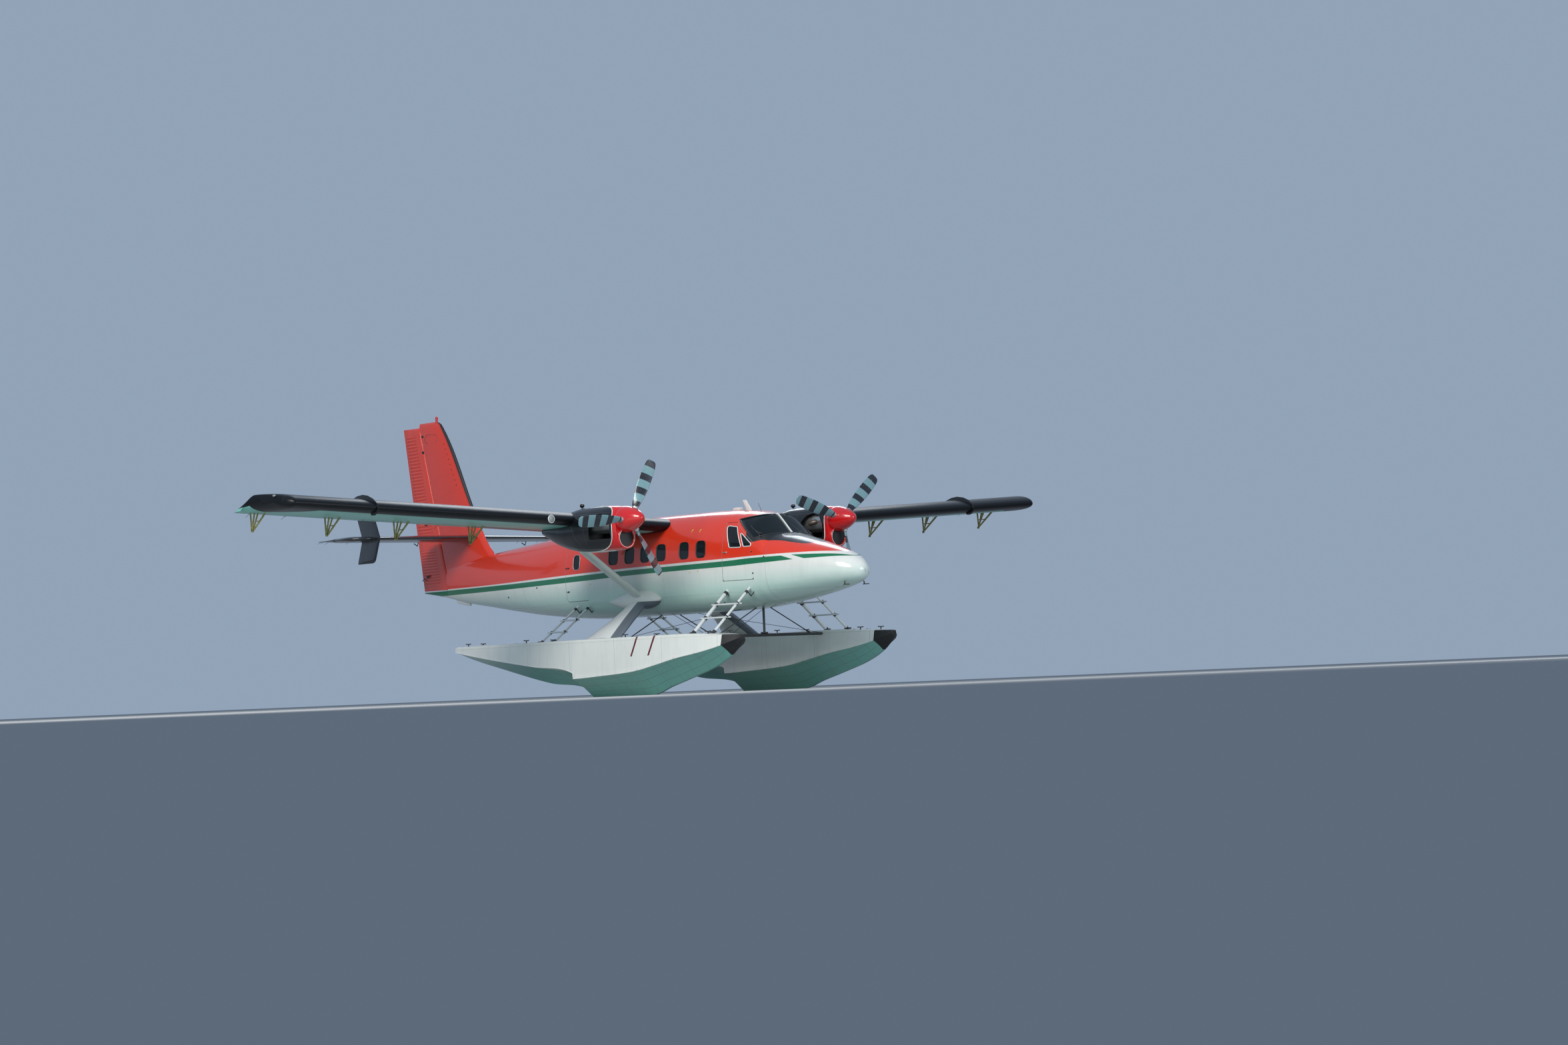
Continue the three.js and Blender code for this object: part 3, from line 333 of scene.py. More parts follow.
def oval_ring(x, centre_y, column, inset=0, quarter=22):
    """One section: two half ovals, each with its own height and roundness, evenly spaced by quarters."""
    top, bottom, half, wide, above, below = column
    parts = []
    for start in range(4):
        angle = np.linspace(start, start + 1, 120) * math.pi / 2
        upper = start < 2
        roundness = 2 / (above if upper else below)
        reach = (top - wide if upper else wide - bottom) - inset
        y = centre_y + (half - inset) * power(np.cos(angle), roundness)
        z = wide + reach * power(np.sin(angle), roundness)
        parts.append(even(columns(x, y, z), quarter + 1)[:-1])
    return np.vstack(parts)


# %% [markdown]
# A skin starts as Blender's grid primitive, as many faces long as there are sections. Its points are then
# put on the sections, the long seam is merged, and the ends are filled.

# %% Meshes from sections
def alone(thing):
    bpy.ops.object.select_all(action="DESELECT")
    thing.select_set(True)
    bpy.context.view_layer.objects.active = thing
    return thing


def primitive(name, kind, **settings):
    """One of Blender's own mesh shapes."""
    bpy.ops.object.select_all(action="DESELECT")
    getattr(bpy.ops.mesh, f"primitive_{kind}_add")(**settings)
    bpy.context.object.name = name
    return bpy.context.object


def edit(thing, *steps):
    """Runs edit-mode operators on everything in one mesh."""
    alone(thing)
    bpy.ops.object.mode_set(mode="EDIT")
    bpy.ops.mesh.select_all(action="SELECT")
    for step in steps:
        step()
    bpy.ops.object.mode_set(mode="OBJECT")
    return thing


def weld():
    bpy.ops.mesh.remove_doubles(threshold=0.00002)


def face_out():
    bpy.ops.mesh.select_all(action="SELECT")
    bpy.ops.mesh.normals_make_consistent(inside=False)


def fill_all_holes():
    bpy.ops.mesh.select_all(action="SELECT")
    bpy.ops.mesh.fill_holes(sides=0)


def grid_over(name, sections, closed=True):
    """A sheet through sections of points, in metres."""
    sections = np.asarray(sections, float)
    rows, count = sections.shape[:2]
    if closed:
        sections = np.concatenate([sections, sections[:, :1]], axis=1)
        count += 1
    sheet = primitive(name, "grid", x_subdivisions=count - 1, y_subdivisions=rows - 1, size=1)
    sheet.data.vertices.foreach_set("co", sections.reshape(-1))
    return edit(sheet, weld)


def skin(name, sections, smooth=35):
    """A closed skin through closed sections."""
    thing = edit(grid_over(name, sections), fill_all_holes, face_out)
    return soften(thing, smooth)


def soften(thing, angle=35):
    alone(thing)
    bpy.ops.object.shade_smooth_by_angle(angle=math.radians(angle), keep_sharp_edges=False)
    return thing


def apply(thing, kind, **settings):
    """Adds a modifier and applies it at once."""
    alone(thing)
    modifier = thing.modifiers.new(kind.lower(), kind)
    for name, value in settings.items():
        setattr(modifier, name, value)
    bpy.ops.object.modifier_apply(modifier=modifier.name)
    return thing


def joined(name, things):
    alone(things[0])
    for thing in things:
        thing.select_set(True)
    if len(things) > 1:
        bpy.ops.object.join()
    things[0].name = name
    return things[0]


def cut(thing, tool, operation="DIFFERENCE"):
    apply(thing, "BOOLEAN", operation=operation, solver="EXACT", object=tool)
    bpy.data.objects.remove(tool)
    return thing


def finish(thing, body, material, slot, *stands_for):
    """Gives a piece its finish and body, and hides the nodes it stands for. The record slot is not used."""
    if material is not None:
        thing.data.materials.clear()
        thing.data.materials.append(material)
    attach(thing, body)
    if stands_for:
        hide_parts(*stands_for)
    return thing


def group(name, parts, body, material, slot, *stands_for):
    """Joins the parts into one finished piece."""
    return finish(joined(name, parts), body, material, slot, *stands_for)


def fixed(thing, material, slot="strut_metal", *stands_for):
    """A finished piece of the airframe, from one mesh."""
    return finish(thing, "airframe", material, slot, *stands_for)


def fittings(name, parts, material=None, slot="strut_metal", *stands_for):
    """Small parts of the airframe joined into one piece, of dark metal when nothing else is said."""
    return fixed(joined(name, parts), material or DARK_METAL, slot, *stands_for)


# %% [markdown]
# Flat outlines become cutters and thin plates. Corners are rounded by points on an arc, and an outline
# drawn in side view is pushed straight through the side with an extrude.

# %% Outlines, prisms and bars
def rounded(outline, radius, steps=5):
    """The outline with every corner rounded by an arc that touches both edges."""
    outline = np.asarray(outline, float)
    count = len(outline)
    path = []
    for i, corner in enumerate(outline):
        r = radius[i] if isinstance(radius, (list, tuple)) else radius
        if r <= 0:
            path.append(corner)
            continue
        to_last, to_next = outline[i - 1] - corner, outline[(i + 1) % count] - corner
        last_length, next_length = np.linalg.norm(to_last), np.linalg.norm(to_next)
        half = math.acos(np.clip(to_last @ to_next / last_length / next_length, -1, 1)) / 2
        back = min(r / math.tan(half), last_length * 0.49, next_length * 0.49)
        first = corner + to_last / last_length * back
        last = corner + to_next / next_length * back
        for t in np.linspace(0, 1, steps + 1):
            path.append((1 - t) ** 2 * first + 2 * t * (1 - t) * corner + t**2 * last)
    return np.array(path)


def prism(name, points, push):
    """A flat outline of 3-D points in metres, extruded by a vector."""
    thing = primitive(name, "circle", vertices=len(points), fill_type="NGON")
    thing.data.vertices.foreach_set("co", np.asarray(points, float).reshape(-1))
    move = {"value": tuple(push)}
    return edit(thing, lambda: bpy.ops.mesh.extrude_region_move(TRANSFORM_OT_translate=move), face_out)


def side_prism(name, outline, y0, y1):
    """A prism from [x, z] pairs in side view, between two Y planes, all in airframe millimetres."""
    points = row([(x, y0, z) for x, z in outline])
    return prism(name, points, (0, (y1 - y0) / 1000, 0))


def tube(name, points, radius, sides=8, closed=False, ends=True):
    """A round bar along a path in metres. The radius may change along it."""
    points = np.asarray(points, float)
    count = len(points)
    radii = radius if isinstance(radius, (list, tuple, np.ndarray)) else [radius] * count
    rings = []
    last = None
    for i in range(count):
        ahead = points[(i + 1) % count if closed else min(i + 1, count - 1)]
        behind = points[i - 1 if closed else max(i - 1, 0)]
        axis = (ahead - behind) / np.linalg.norm(ahead - behind)
        if last is None:
            last = np.cross(axis, (0, 0, 1) if abs(axis[2]) < 0.9 else (1, 0, 0))
        last = last - axis * (last @ axis)
        last = last / np.linalg.norm(last)
        across = np.cross(axis, last)
        angle = turns(sides)[:, None]
        rings.append(points[i] + radii[i] * (np.cos(angle) * last + np.sin(angle) * across))
    if closed:
        rings.append(rings[0])
    thing = grid_over(name, rings)
    if ends and not closed:
        edit(thing, fill_all_holes)
    edit(thing, face_out)
    return soften(thing, 50)


def rod(points, radius, sides=8):
    """A bar along a path in airframe millimetres, to be joined into a piece. Its radius is in metres."""
    return tube("rod", row(points), radius, sides)


def blob(name, place, size, segments=16, rings=10):
    """A rounded lump, for caps, lamps and knobs: place and half sizes in metres."""
    thing = primitive(name, "uv_sphere", segments=segments, ring_count=rings, radius=1)
    thing.data.transform(Matrix.Translation(place) @ Matrix.Diagonal((*size, 1)))
    return soften(thing, 60)


def brick(name, low, high, bevel=0.004):
    """A box between two corners in metres, with rounded edges."""
    low, high = Vector(low), Vector(high)
    thing = primitive(name, "cube", size=1)
    thing.data.transform(Matrix.Translation((low + high) / 2) @ Matrix.Diagonal((*(high - low), 1)))
    if bevel:
        apply(thing, "BEVEL", width=bevel, segments=3, limit_method="NONE")
    return soften(thing, 40)


# %% [markdown]
# ## Fuselage
# The real fuselage is sheet aluminium over frames: a short rounded nose, a long box-like cabin of constant
# section, and a cone up to the tail. The section is squarer below than above. One table of stations
# drives every piece of skin, the doors, the glass and all the small parts that sit on it.

# %% Fuselage stations
# x, top, bottom, half width, height of the widest line, roundness above, roundness below
STATIONS = [
    (5048, -1085, -1095, 5, -1090, 2.0, 2.0),
    (5047, -1070, -1110, 20, -1090, 2.0, 2.0),
    (5043, -1046, -1135, 46, -1090, 2.0, 2.0),
    (5035, -1020, -1161, 74, -1090, 2.0, 2.0),
    (5020, -985, -1195, 110, -1090, 2.0, 2.0),
    (4930, -890, -1272, 225, -1080, 2.0, 2.0),
    (4700, -740, -1350, 372, -1060, 2.1, 2.1),
    (4300, -605, -1430, 520, -1040, 2.3, 2.2),
    (3800, -465, -1510, 645, -1010, 2.5, 2.3),
    (3300, -335, -1575, 735, -980, 2.7, 2.5),
    (2975, -252, -1614, 779, -950, 2.8, 2.6),
    (2945, -232, -1617, 782, -950, 2.8, 2.6),
    (2840, -130, -1628, 792, -940, 2.8, 2.7),
    (2680, 30, -1642, 806, -930, 2.8, 2.7),
    (2545, 146, -1655, 820, -920, 2.8, 2.8),
    (2500, 163, -1657, 822, -920, 2.8, 2.8),
    (2350, 195, -1670, 834, -910, 2.8, 3.0),
    (2070, 240, -1690, 852, -900, 2.8, 3.2),
    (1500, 285, -1715, 872, -880, 2.9, 3.4),
    (800, 300, -1720, 875, -880, 2.9, 3.4),
    (-1000, 300, -1720, 875, -880, 2.9, 3.4),
    (-2000, 262, -1720, 875, -880, 2.8, 3.4),
    (-2700, 212, -1715, 868, -880, 2.7, 3.3),
    (-3300, 160, -1690, 842, -870, 2.5, 3.1),
    (-4150, 85, -1630, 770, -850, 2.3, 2.6),
    (-5060, 8, -1545, 655, -830, 2.2, 2.4),
    (-5980, -70, -1430, 515, -800, 2.1, 2.2),
    (-6910, -152, -1300, 375, -770, 2.1, 2.1),
    (-7860, -240, -1165, 240, -750, 2.0, 2.0),
    (-8440, -300, -1050, 165, -740, 2.0, 2.0),
]
NOSE_TIP, BALL_FROM, NOSE_HEIGHT = 5048, 5020, -1090
NOSE_JOINT, TAIL_JOINT, TAIL_END = 3000, -5000, -8440
CABIN_WALL = 65
LEFT, RIGHT = 1, -1
SIDES = {"left": LEFT, "right": RIGHT}


def body_ring(x, inset=0):
    """One ring of the fuselage. The last centimetres of the nose are a true ball, so no ring shows there."""
    if x <= BALL_FROM:
        return row(oval_ring(x, 0, rows_at(STATIONS, x), inset))
    ball = np.array(oval_ring(BALL_FROM, 0, rows_at(STATIONS, BALL_FROM), inset))
    shrink = math.sqrt(max(NOSE_TIP - x, 0.02) / (NOSE_TIP - BALL_FROM))
    return row((ball - (BALL_FROM, 0, NOSE_HEIGHT)) * (0, shrink, shrink) + (x, 0, NOSE_HEIGHT))


def body_skin(name, xs, inset=0):
    return skin(name, [body_ring(x, inset) for x in xs])


def section_at(x, z):
    """Half width, height of the widest line, reach above or below it and roundness there."""
    top, bottom, half, wide, above, below = rows_at(STATIONS, x)
    return (half, wide, top - wide, above) if z >= wide else (half, wide, wide - bottom, below)


def side_at(x, z, side, out=0.0):
    """The point on the fuselage side at an X and a height, moved outwards by a distance, in millimetres."""
    half, wide, reach, roundness = section_at(x, z)
    share = min(abs(z - wide) / (reach + out), 1)
    return x, side * (half + out) * (1 - share**roundness) ** (1 / roundness), z


def on_side(outline, side, out, step):
    """A closed outline in side view laid on the fuselage side, in metres."""
    outline = np.asarray(outline, float)
    length = np.linalg.norm(np.diff(np.vstack([outline, outline[:1]]), axis=0), axis=1).sum()
    path = even(outline, max(int(length / step), 8), True)
    return row([side_at(x, z, side, out) for x, z in path])


def patch(name, corners, side, low, high, across=2, along=4):
    """A thin plate on the fuselage side between two heights off the skin, from corners in side view."""
    a, b, c, d = (np.asarray(corner, float) for corner in corners)
    rows = []
    for u in np.linspace(0, 1, along + 1):
        start, end = a + (b - a) * u, d + (c - d) * u
        path = [start + (end - start) * v for v in np.linspace(0, 1, across + 1)]
        ring = [side_at(x, z, side, high) for x, z in path]
        ring += [side_at(x, z, side, low) for x, z in reversed(path)]
        rows.append(row(ring))
    return skin(name, rows, 30)


def paint_and_trim(thing, limit=0.93):
    """Paints the outside, and gives the faces that lie inside the outer skin the cabin's trim."""
    thing.data.materials.append(FUSELAGE)
    thing.data.materials.append(CABIN_TRIM)
    for face in thing.data.polygons:
        x, y, z = (np.array(face.center) - (AHEAD, 0, ABOVE)) * 1000
        half, wide, reach, roundness = section_at(x, z)
        if (abs(y) / half) ** roundness + (abs(z - wide) / reach) ** roundness < limit:
            face.material_index = 1


# %% [markdown]
# ### Fuselage paint
# The livery is drawn in the material, because it runs across panels and doors without a break, as paint
# does. Each edge of the stripe is a curve of height against length. Near the nose the green line stops on
# a slant and a second one starts higher up, so the two overlap like a flash.

# %% Fuselage paint
RED_EDGE = [(-8.4, -0.838), (-6.4, -0.832), (-4.4, -0.800), (-2.6, -0.763), (-1.1, -0.732), (0.4, -0.715),
            (1.9, -0.700), (2.6, -0.686), (3.2, -0.677), (3.9, -0.674), (4.55, -0.690)]
GREEN_TOP = [(-8.4, -0.868), (-6.4, -0.862), (-4.4, -0.842), (-2.6, -0.806), (-1.1, -0.778), (0.4, -0.764),
             (1.9, -0.747), (2.6, -0.726), (3.2, -0.720), (3.9, -0.716)]
GREEN_LOW = [(-8.4, -0.975), (-6.4, -0.968), (-4.4, -0.950), (-2.6, -0.922), (-1.1, -0.884), (0.4, -0.868),
             (1.9, -0.860), (2.6, -0.842), (3.2, -0.825), (3.9, -0.800)]
BOW_GREEN_TOP = [(3.5, -0.712), (4.1, -0.722), (4.5, -0.742), (4.85, -0.800)]
BOW_GREEN_LOW = [(3.5, -0.803), (4.1, -0.800), (4.5, -0.793), (4.85, -0.803)]
GLARE_HALF = [(2.40, 0.80), (2.66, 0.755), (3.09, 0.555), (3.60, 0.42), (3.77, 0.345), (3.85, 0.10),
              (3.87, 0.0)]
STERN_SLANT, BOW_SLANT = 3.4, 3.6


def curve_of(finish, axis, points, shift=AHEAD, lift=ABOVE):
    """A smooth curve through (place, value) pairs as a signal, both moved from airframe to frame metres."""
    xs, values = np.array(points, float).T
    low, high = values.min() - 0.01, values.max() + 0.01
    node = finish.node("ShaderNodeFloatCurve", {}, {1: (axis - (xs[0] + shift)) / (xs[-1] - xs[0])})
    line = node.mapping.curves[0]
    stops = list(zip((xs - xs[0]) / (xs[-1] - xs[0]), (values - low) / (high - low)))
    while len(line.points) < len(stops):
        line.points.new(0.5, 0.5)
    for point, stop in zip(line.points, stops):
        point.location = stop
        point.handle_type = "AUTO_CLAMPED"
    node.mapping.update()
    return Signal(finish, node.outputs[0]) * (high - low) + (low + lift)


def grime(finish, amount=0.10, tint=DIRT):
    """Faint clouds of dirt and vertical streaks."""
    streaks = finish.noise(3.0, 5, stretch=(3.5, 3.5, 0.5), low=0.46, high=0.8)
    clouds = finish.noise(1.3, 4, low=0.45, high=0.75)
    return finish.paint((streaks + clouds) * (amount / 2), tint)


def seams(finish, signals, colour=(0.10, 0.10, 0.11), amount=0.45):
    """Panel joints as thin soft dark lines. Returns their sum for the relief."""
    total = signals[0]
    for signal in signals[1:]:
        total = total.either(signal)
    finish.paint(total * amount, colour)
    return total


def over(f, edge):
    """1 above an edge that runs along the fuselage, 0 below it."""
    return (f.z - curve_of(f, f.x, edge)).above(0, PAINT_EDGE)


def stripe(f, top, low):
    """1 between two edges that run along the fuselage."""
    return (f.z - curve_of(f, f.x, top)).below(0, PAINT_EDGE) * over(f, low)


def fuselage_paint():
    f = Finish("fuselage_paint", WHITE, 0.24, coat=0.6)
    x, y, z = f.x, f.y, f.z
    grime(f, 0.14)
    # Painted reflection: the skin turns pale green-blue towards the bottom, standing for light thrown up by
    # the water.
    f.paint(z.below(ABOVE - 1.10, 0.38) * 0.55, (0.34, 0.66, 0.58))
    red = over(f, RED_EDGE)
    middle = stripe(f, GREEN_TOP, GREEN_LOW)
    stern_part = (x + (z - ABOVE) * STERN_SLANT).below(3.40 + AHEAD - 0.724 * STERN_SLANT, 0.006)
    bow = stripe(f, BOW_GREEN_TOP, BOW_GREEN_LOW)
    bow_part = (x + (z - ABOVE) * BOW_SLANT).above(3.62 + AHEAD - 0.714 * BOW_SLANT, 0.006)
    f.paint(middle * stern_part, GREEN).paint(bow * (bow_part * x.below(4.86 + AHEAD)), GREEN)
    f.paint(red, ORANGE)
    glare = y.math("ABSOLUTE") - curve_of(f, x, GLARE_HALF, lift=0)
    glare = glare.below(0, 0.004) * z.above(ABOVE - 0.60)
    f.paint(glare * x.between(2.43 + AHEAD, 3.87 + AHEAD), BLACK)
    f.rough(glare * x.above(2.43 + AHEAD), 0.42)
    low = z.below(ABOVE - 0.95, 0.02)
    frames = x.every(0.62, 0.0035) * z.above(ABOVE - 1.66, 0.01) * x.below(3.05 + AHEAD)
    line = seams(f, [frames * 0.55, x.near(3.0 + AHEAD, 0.006), x.near(-5.0 + AHEAD, 0.006),
                     z.near(ABOVE - 1.38, 0.003) * low])
    rows = (x + 0.012).every(0.62, 0.006, 0.002).either(z.every(0.31, 0.006, 0.002))
    rivets = x.every(0.031, 0.006, 0.002) * rows
    ripple = f.noise(2.2, 1, stretch=(1.6, 1, 2.2), low=0.3, high=0.7)
    skin_relief = f.relief(ripple, 0.004, 0.5)
    return f.done(f.relief(rivets * 0.4 - line, 0.0012, 0.6, skin_relief))


def trim_paint(name, colour, rough=0.7, grain=60.0):
    f = Finish(name, colour, rough)
    weave = f.noise(grain, 2)
    f.paint(weave * 0.25, tuple(part * 0.6 for part in colour))
    return f.done(f.relief(weave, 0.0008, 0.4))


FUSELAGE = fuselage_paint()
CABIN_TRIM = trim_paint("cabin_trim", (0.42, 0.42, 0.40))
DARK_TRIM = trim_paint("dark_trim", (0.03, 0.03, 0.032), 0.55)


# %% [markdown]
# Small parts share a few finishes: satin metal, rubber, glass, black and coloured paint. Each has some
# wear, so that nothing looks like plain plastic.

# %% Shared finishes
def worn(name, colour, rough, metallic=0.0, coat=0.0, tint=None, scale=8.0, amount=0.25, bump=0.0006):
    """A paint or metal with clouds of a second tint and faint scuffs."""
    f = Finish(name, colour, rough, metallic, coat)
    cloud = f.noise(scale, 4)
    scuff = f.noise(scale * 6, 3, low=0.5, high=0.8)
    f.paint(cloud * amount, tint or tuple(part * 0.7 for part in colour))
    f.rough(scuff * 0.5, min(rough + 0.2, 1))
    return f.done(f.relief(scuff, bump, 0.35))


SATIN_METAL = worn("satin_metal", (0.55, 0.57, 0.57), 0.34, 0.85, tint=(0.36, 0.38, 0.38))
WHITE_METAL = worn("white_metal", (0.72, 0.74, 0.73), 0.32, 0.1, 0.3, tint=(0.5, 0.52, 0.5))
DARK_METAL = worn("dark_metal", (0.045, 0.047, 0.05), 0.42, 0.5, tint=(0.1, 0.1, 0.1))
RUBBER = worn("black_rubber", (0.012, 0.012, 0.013), 0.62, tint=(0.03, 0.03, 0.03), scale=14)
GLOSS_BLACK = worn("gloss_black", BLACK, 0.2, 0.0, 0.3, tint=(0.010, 0.011, 0.013), scale=2.5, bump=0.0003)
EXHAUST_METAL = worn("exhaust_metal", (0.20, 0.17, 0.14), 0.42, 0.8, tint=(0.09, 0.07, 0.06), amount=0.6)
GLOSS_RED = worn("gloss_red", RED, 0.2, 0.0, 0.8, tint=(0.5, 0.01, 0.01), scale=3)
GLOSS_WHITE = worn("gloss_white", WHITE, 0.25, 0.0, 0.6, tint=(0.66, 0.66, 0.62), scale=3, amount=0.3)
YELLOW_PAINT = worn("yellow_paint", YELLOW, 0.35, 0.0, 0.3, scale=20)
GOLD_METAL = worn("olive_gold", (0.42, 0.36, 0.14), 0.45, 0.35, tint=(0.16, 0.15, 0.06), scale=14,
                  amount=0.5)
PALE_STRUT = worn("pale_strut", (0.50, 0.56, 0.53), 0.3, 0.0, 0.4, tint=(0.42, 0.48, 0.45), scale=4)


def glazing(name, colour, alpha, rough=0.03):
    f = Finish(name, colour, rough, Alpha=alpha)
    haze = f.noise(5, 3, low=0.4, high=0.9)
    f.rough(haze * 0.4, 0.12)
    return f.done()


WINDOW_GLASS = glazing("window_glass", (0.012, 0.016, 0.02), 0.72)
SCREEN_GLASS = glazing("screen_glass", (0.012, 0.018, 0.024), 0.55)
LAMP_GLASS = glazing("lamp_glass", (0.30, 0.32, 0.33), 0.9, 0.12)

# %% [markdown]
# ### Openings in the skin
# The openings are drawn in side view, as on a general arrangement drawing, and cut straight through the
# wall by prisms. A door's free edges keep a 9 mm gap, which shows as the dark line round a real door.

# %% Openings
PANE_XS = (1150, 630, -100, -610, -1120, -1650)
CREW_OPENING = [(1800, -1150), (2665, -1150), (2665, -425), (2083, 15), (1800, 15)]
CREW_LEAF = [(1809, -1141), (2664.7, -1141), (2664.7, -436), (2080, 6), (1809, 6)]
CREW_PANES = [[(2010, -490), (2350, -500), (2140, -85), (1848, -45)],
              [(2405, -490), (2600, -490), (2600, -440), (2260, -183)]]
REAR_OPENINGS = {"left": (-3280, -2520, -1420, -150), "right": (-3290, -2520, -1340, -190)}
REAR_PANE = (-2890, -530, 230, 310)
BAGGAGE_OPENING = (-4560, -3910, -1300, -330)
HINGE_ROOM = 4
NOSE_OPENING = (3350, 3900, -1230, -680)
SCREEN = [(2965, -247), (2620, -340), (2085, 70), (2545, 147)]
SCREEN_AHEAD = [(2540, 160), (3120, 160), (3120, -215)]
POST_HALF = 25


def box_outline(x0, x1, z0, z1):
    return [(x0, z0), (x1, z0), (x1, z1), (x0, z1)]


def leaf_outline(x0, x1, z0, z1, rim=9, hinge=0.3):
    return [(x0 + rim, z0 + rim), (x1 - hinge, z0 + rim), (x1 - hinge, z1 - rim), (x0 + rim, z1 - rim)]


def pane_outline(x, z=-475, width=300, height=340, corner=105):
    return rounded(box_outline(x - width / 2, x + width / 2, z - height / 2, z + height / 2), corner, 7)


def through(name, outline, side, near=250, far=1250):
    return side_prism(name, outline, side * near, side * far)


def grown(outline, distance):
    """The outline with each corner moved away from the middle, near enough for laps and frames."""
    outline = np.asarray(outline, float)
    middle = outline.mean(axis=0)
    away = outline - middle
    return outline + away / np.linalg.norm(away, axis=1)[:, None] * distance


def cabin_skin():
    dense = np.arange(NOSE_JOINT, 1990, -22)
    rest = np.linspace(1980, TAIL_JOINT, 70)
    shell = body_skin("cabin_skin", [*dense, *rest])
    room = body_skin("room", [*np.arange(2940, 1990, -45), *np.linspace(1980, -4950, 50)], CABIN_WALL)
    cut(room, brick("under_floor", row((-6000, -1200, -2500)), row((4000, 1200, -1600)), 0))
    cut(room, brick("over_ceiling", row((-1500, -1200, -230)), row((200, 1200, 900)), 0))
    cut(shell, room)
    screen = SCREEN[:-1] + SCREEN_AHEAD
    cutters = []
    for name, side in SIDES.items():
        cutters += [through("pane", pane_outline(x), side) for x in PANE_XS]
        cutters.append(through("crew", CREW_OPENING, side))
        cutters.append(through("screen", screen, side, POST_HALF))
        cutters.append(through("rear", rounded(box_outline(*REAR_OPENINGS[name]), 60), side))
    x0, x1, z0, z1 = BAGGAGE_OPENING
    baggage = box_outline(x0, x1 + HINGE_ROOM, z0, z1)
    cutters.append(through("baggage", rounded(baggage, 50), LEFT))
    cut(shell, joined("openings", cutters))
    paint_and_trim(shell)
    return fixed(soften(shell, 28), None, "orange_skin", "cabin_shell")


cabin_skin()
print("cabin skin done")


# %% [markdown]
# The nose holds a baggage bay with a door in its port side, hinged along the top edge. Because the nose
# tapers, the door's edges are cut square to the skin, so that it can swing out without catching.

# %% Nose and tail cone
TAPER = 0.2945


def nose_prism(name, outline):
    """A prism square to the tapering side of the nose."""
    near, far = (row([(x + (y - 650) * TAPER, y, z) for x, z in outline]) for y in (300, 1300))
    return prism(name, near, far[0] - near[0])


def nose_skin():
    length = NOSE_TIP - NOSE_JOINT - 0.3
    front = NOSE_TIP - length * (1 - np.cos(np.linspace(0, math.pi / 2, 64)))
    shell = body_skin("nose_skin", front)
    cut(shell, body_skin("bay", np.linspace(4300, 3280, 16), 60))
    cut(shell, nose_prism("nose_opening", rounded(box_outline(*NOSE_OPENING), 45)))
    paint_and_trim(shell, 0.9)
    return fixed(soften(shell, 28), None, "orange_skin", "nose_section")


def nose_door():
    x0, x1, z0, z1 = NOSE_OPENING
    wall = body_skin("nose_door_skin", np.linspace(4200, 3050, 24))
    cut(wall, body_skin("inside", np.linspace(4250, 3000, 24), 60))
    outline = rounded([(x0 + 9, z0 + 9), (x1 - 9, z0 + 9), (x1 - 9, z1 - 0.3), (x0 + 9, z1 - 0.3)], 38)
    cut(wall, nose_prism("leaf", outline), "INTERSECT")
    return finish(soften(wall, 28), "nose_bay_door", FUSELAGE, "orange_skin", "nose_bay_door")


nose_skin()
nose_door()


def cone_skin():
    cone = body_skin("tail_cone", np.linspace(TAIL_JOINT - 0.3, TAIL_END, 44))
    cut(cone, body_skin("cone_room", np.linspace(-4990, -8290, 24), 32))
    room = []
    for z in (-862, 0):
        front = rudder_gap(z)
        room.append([(front, 400, z), (-12000, 400, z), (-12000, -400, z), (front, -400, z)])
    cut(cone, skin("rudder_space", row(room)))
    rings = []
    for x, z, half, deep in ((-8400, -900, 95, 150), (-8900, -915, 70, 54), (-9430, -878, 30, 16)):
        arc = np.linspace(0, math.pi, 9)
        under = [(x, half * math.cos(a), z - deep * math.sin(a)) for a in arc]
        rings.append(row([(x, half, -862), *under, (x, -half, -862)]))
    stinger = skin("stinger", rings, 40)
    both = joined("tail_cone", [cone, stinger])
    return fixed(soften(both, 28), FUSELAGE, "orange_skin", "tail_section")


# %% [markdown]
# ### Doors
# A leaf is the part of the wall inside its opening. The crew doors carry two panes each, the rear doors
# one. Round beads edge the panes, and each leaf is lined like the cabin.

# %% Doors and their glass
def shell_between(name, xs, outer, inner):
    """A layer of the fuselage between two depths. The cutter is longer, so that its ends stay clear."""
    layer = body_skin(name, xs, outer)
    return cut(layer, body_skin("inside", [xs[0] + 30, *xs[1:-1], xs[-1] - 30], inner))


def leaf(name, outline, side, panes, xs, corner, body):
    """The wall inside an opening, lined like the cabin. Its body and the node have the same name."""
    wall = shell_between(name, xs, 0, CABIN_WALL)
    cut(wall, through("outline", rounded(outline, corner), side), "INTERSECT")
    if panes:
        cut(wall, joined("panes", [through("pane", pane, side) for pane in panes]))
    paint_and_trim(wall)
    finish(soften(wall, 28), body, None, "orange_skin", body)


def glazed(name, frames, outlines, side, xs, body, node, radius, metal, slot="strut_metal"):
    """Panes a little larger than their openings, inside the wall, and round edging along each opening."""
    panes = joined("panes", [through("pane", grown(outline, 8), side) for outline in outlines])
    sheet = cut(shell_between(name, xs, *GLASS_DEPTHS), panes, "INTERSECT")
    finish(soften(sheet, 30), body, WINDOW_GLASS, "clear_glass", node)
    rings = [tube("edge", on_side(outline, side, 1.0, 22), radius, 8, closed=True) for outline in outlines]
    group(frames, rings, body, metal, slot)


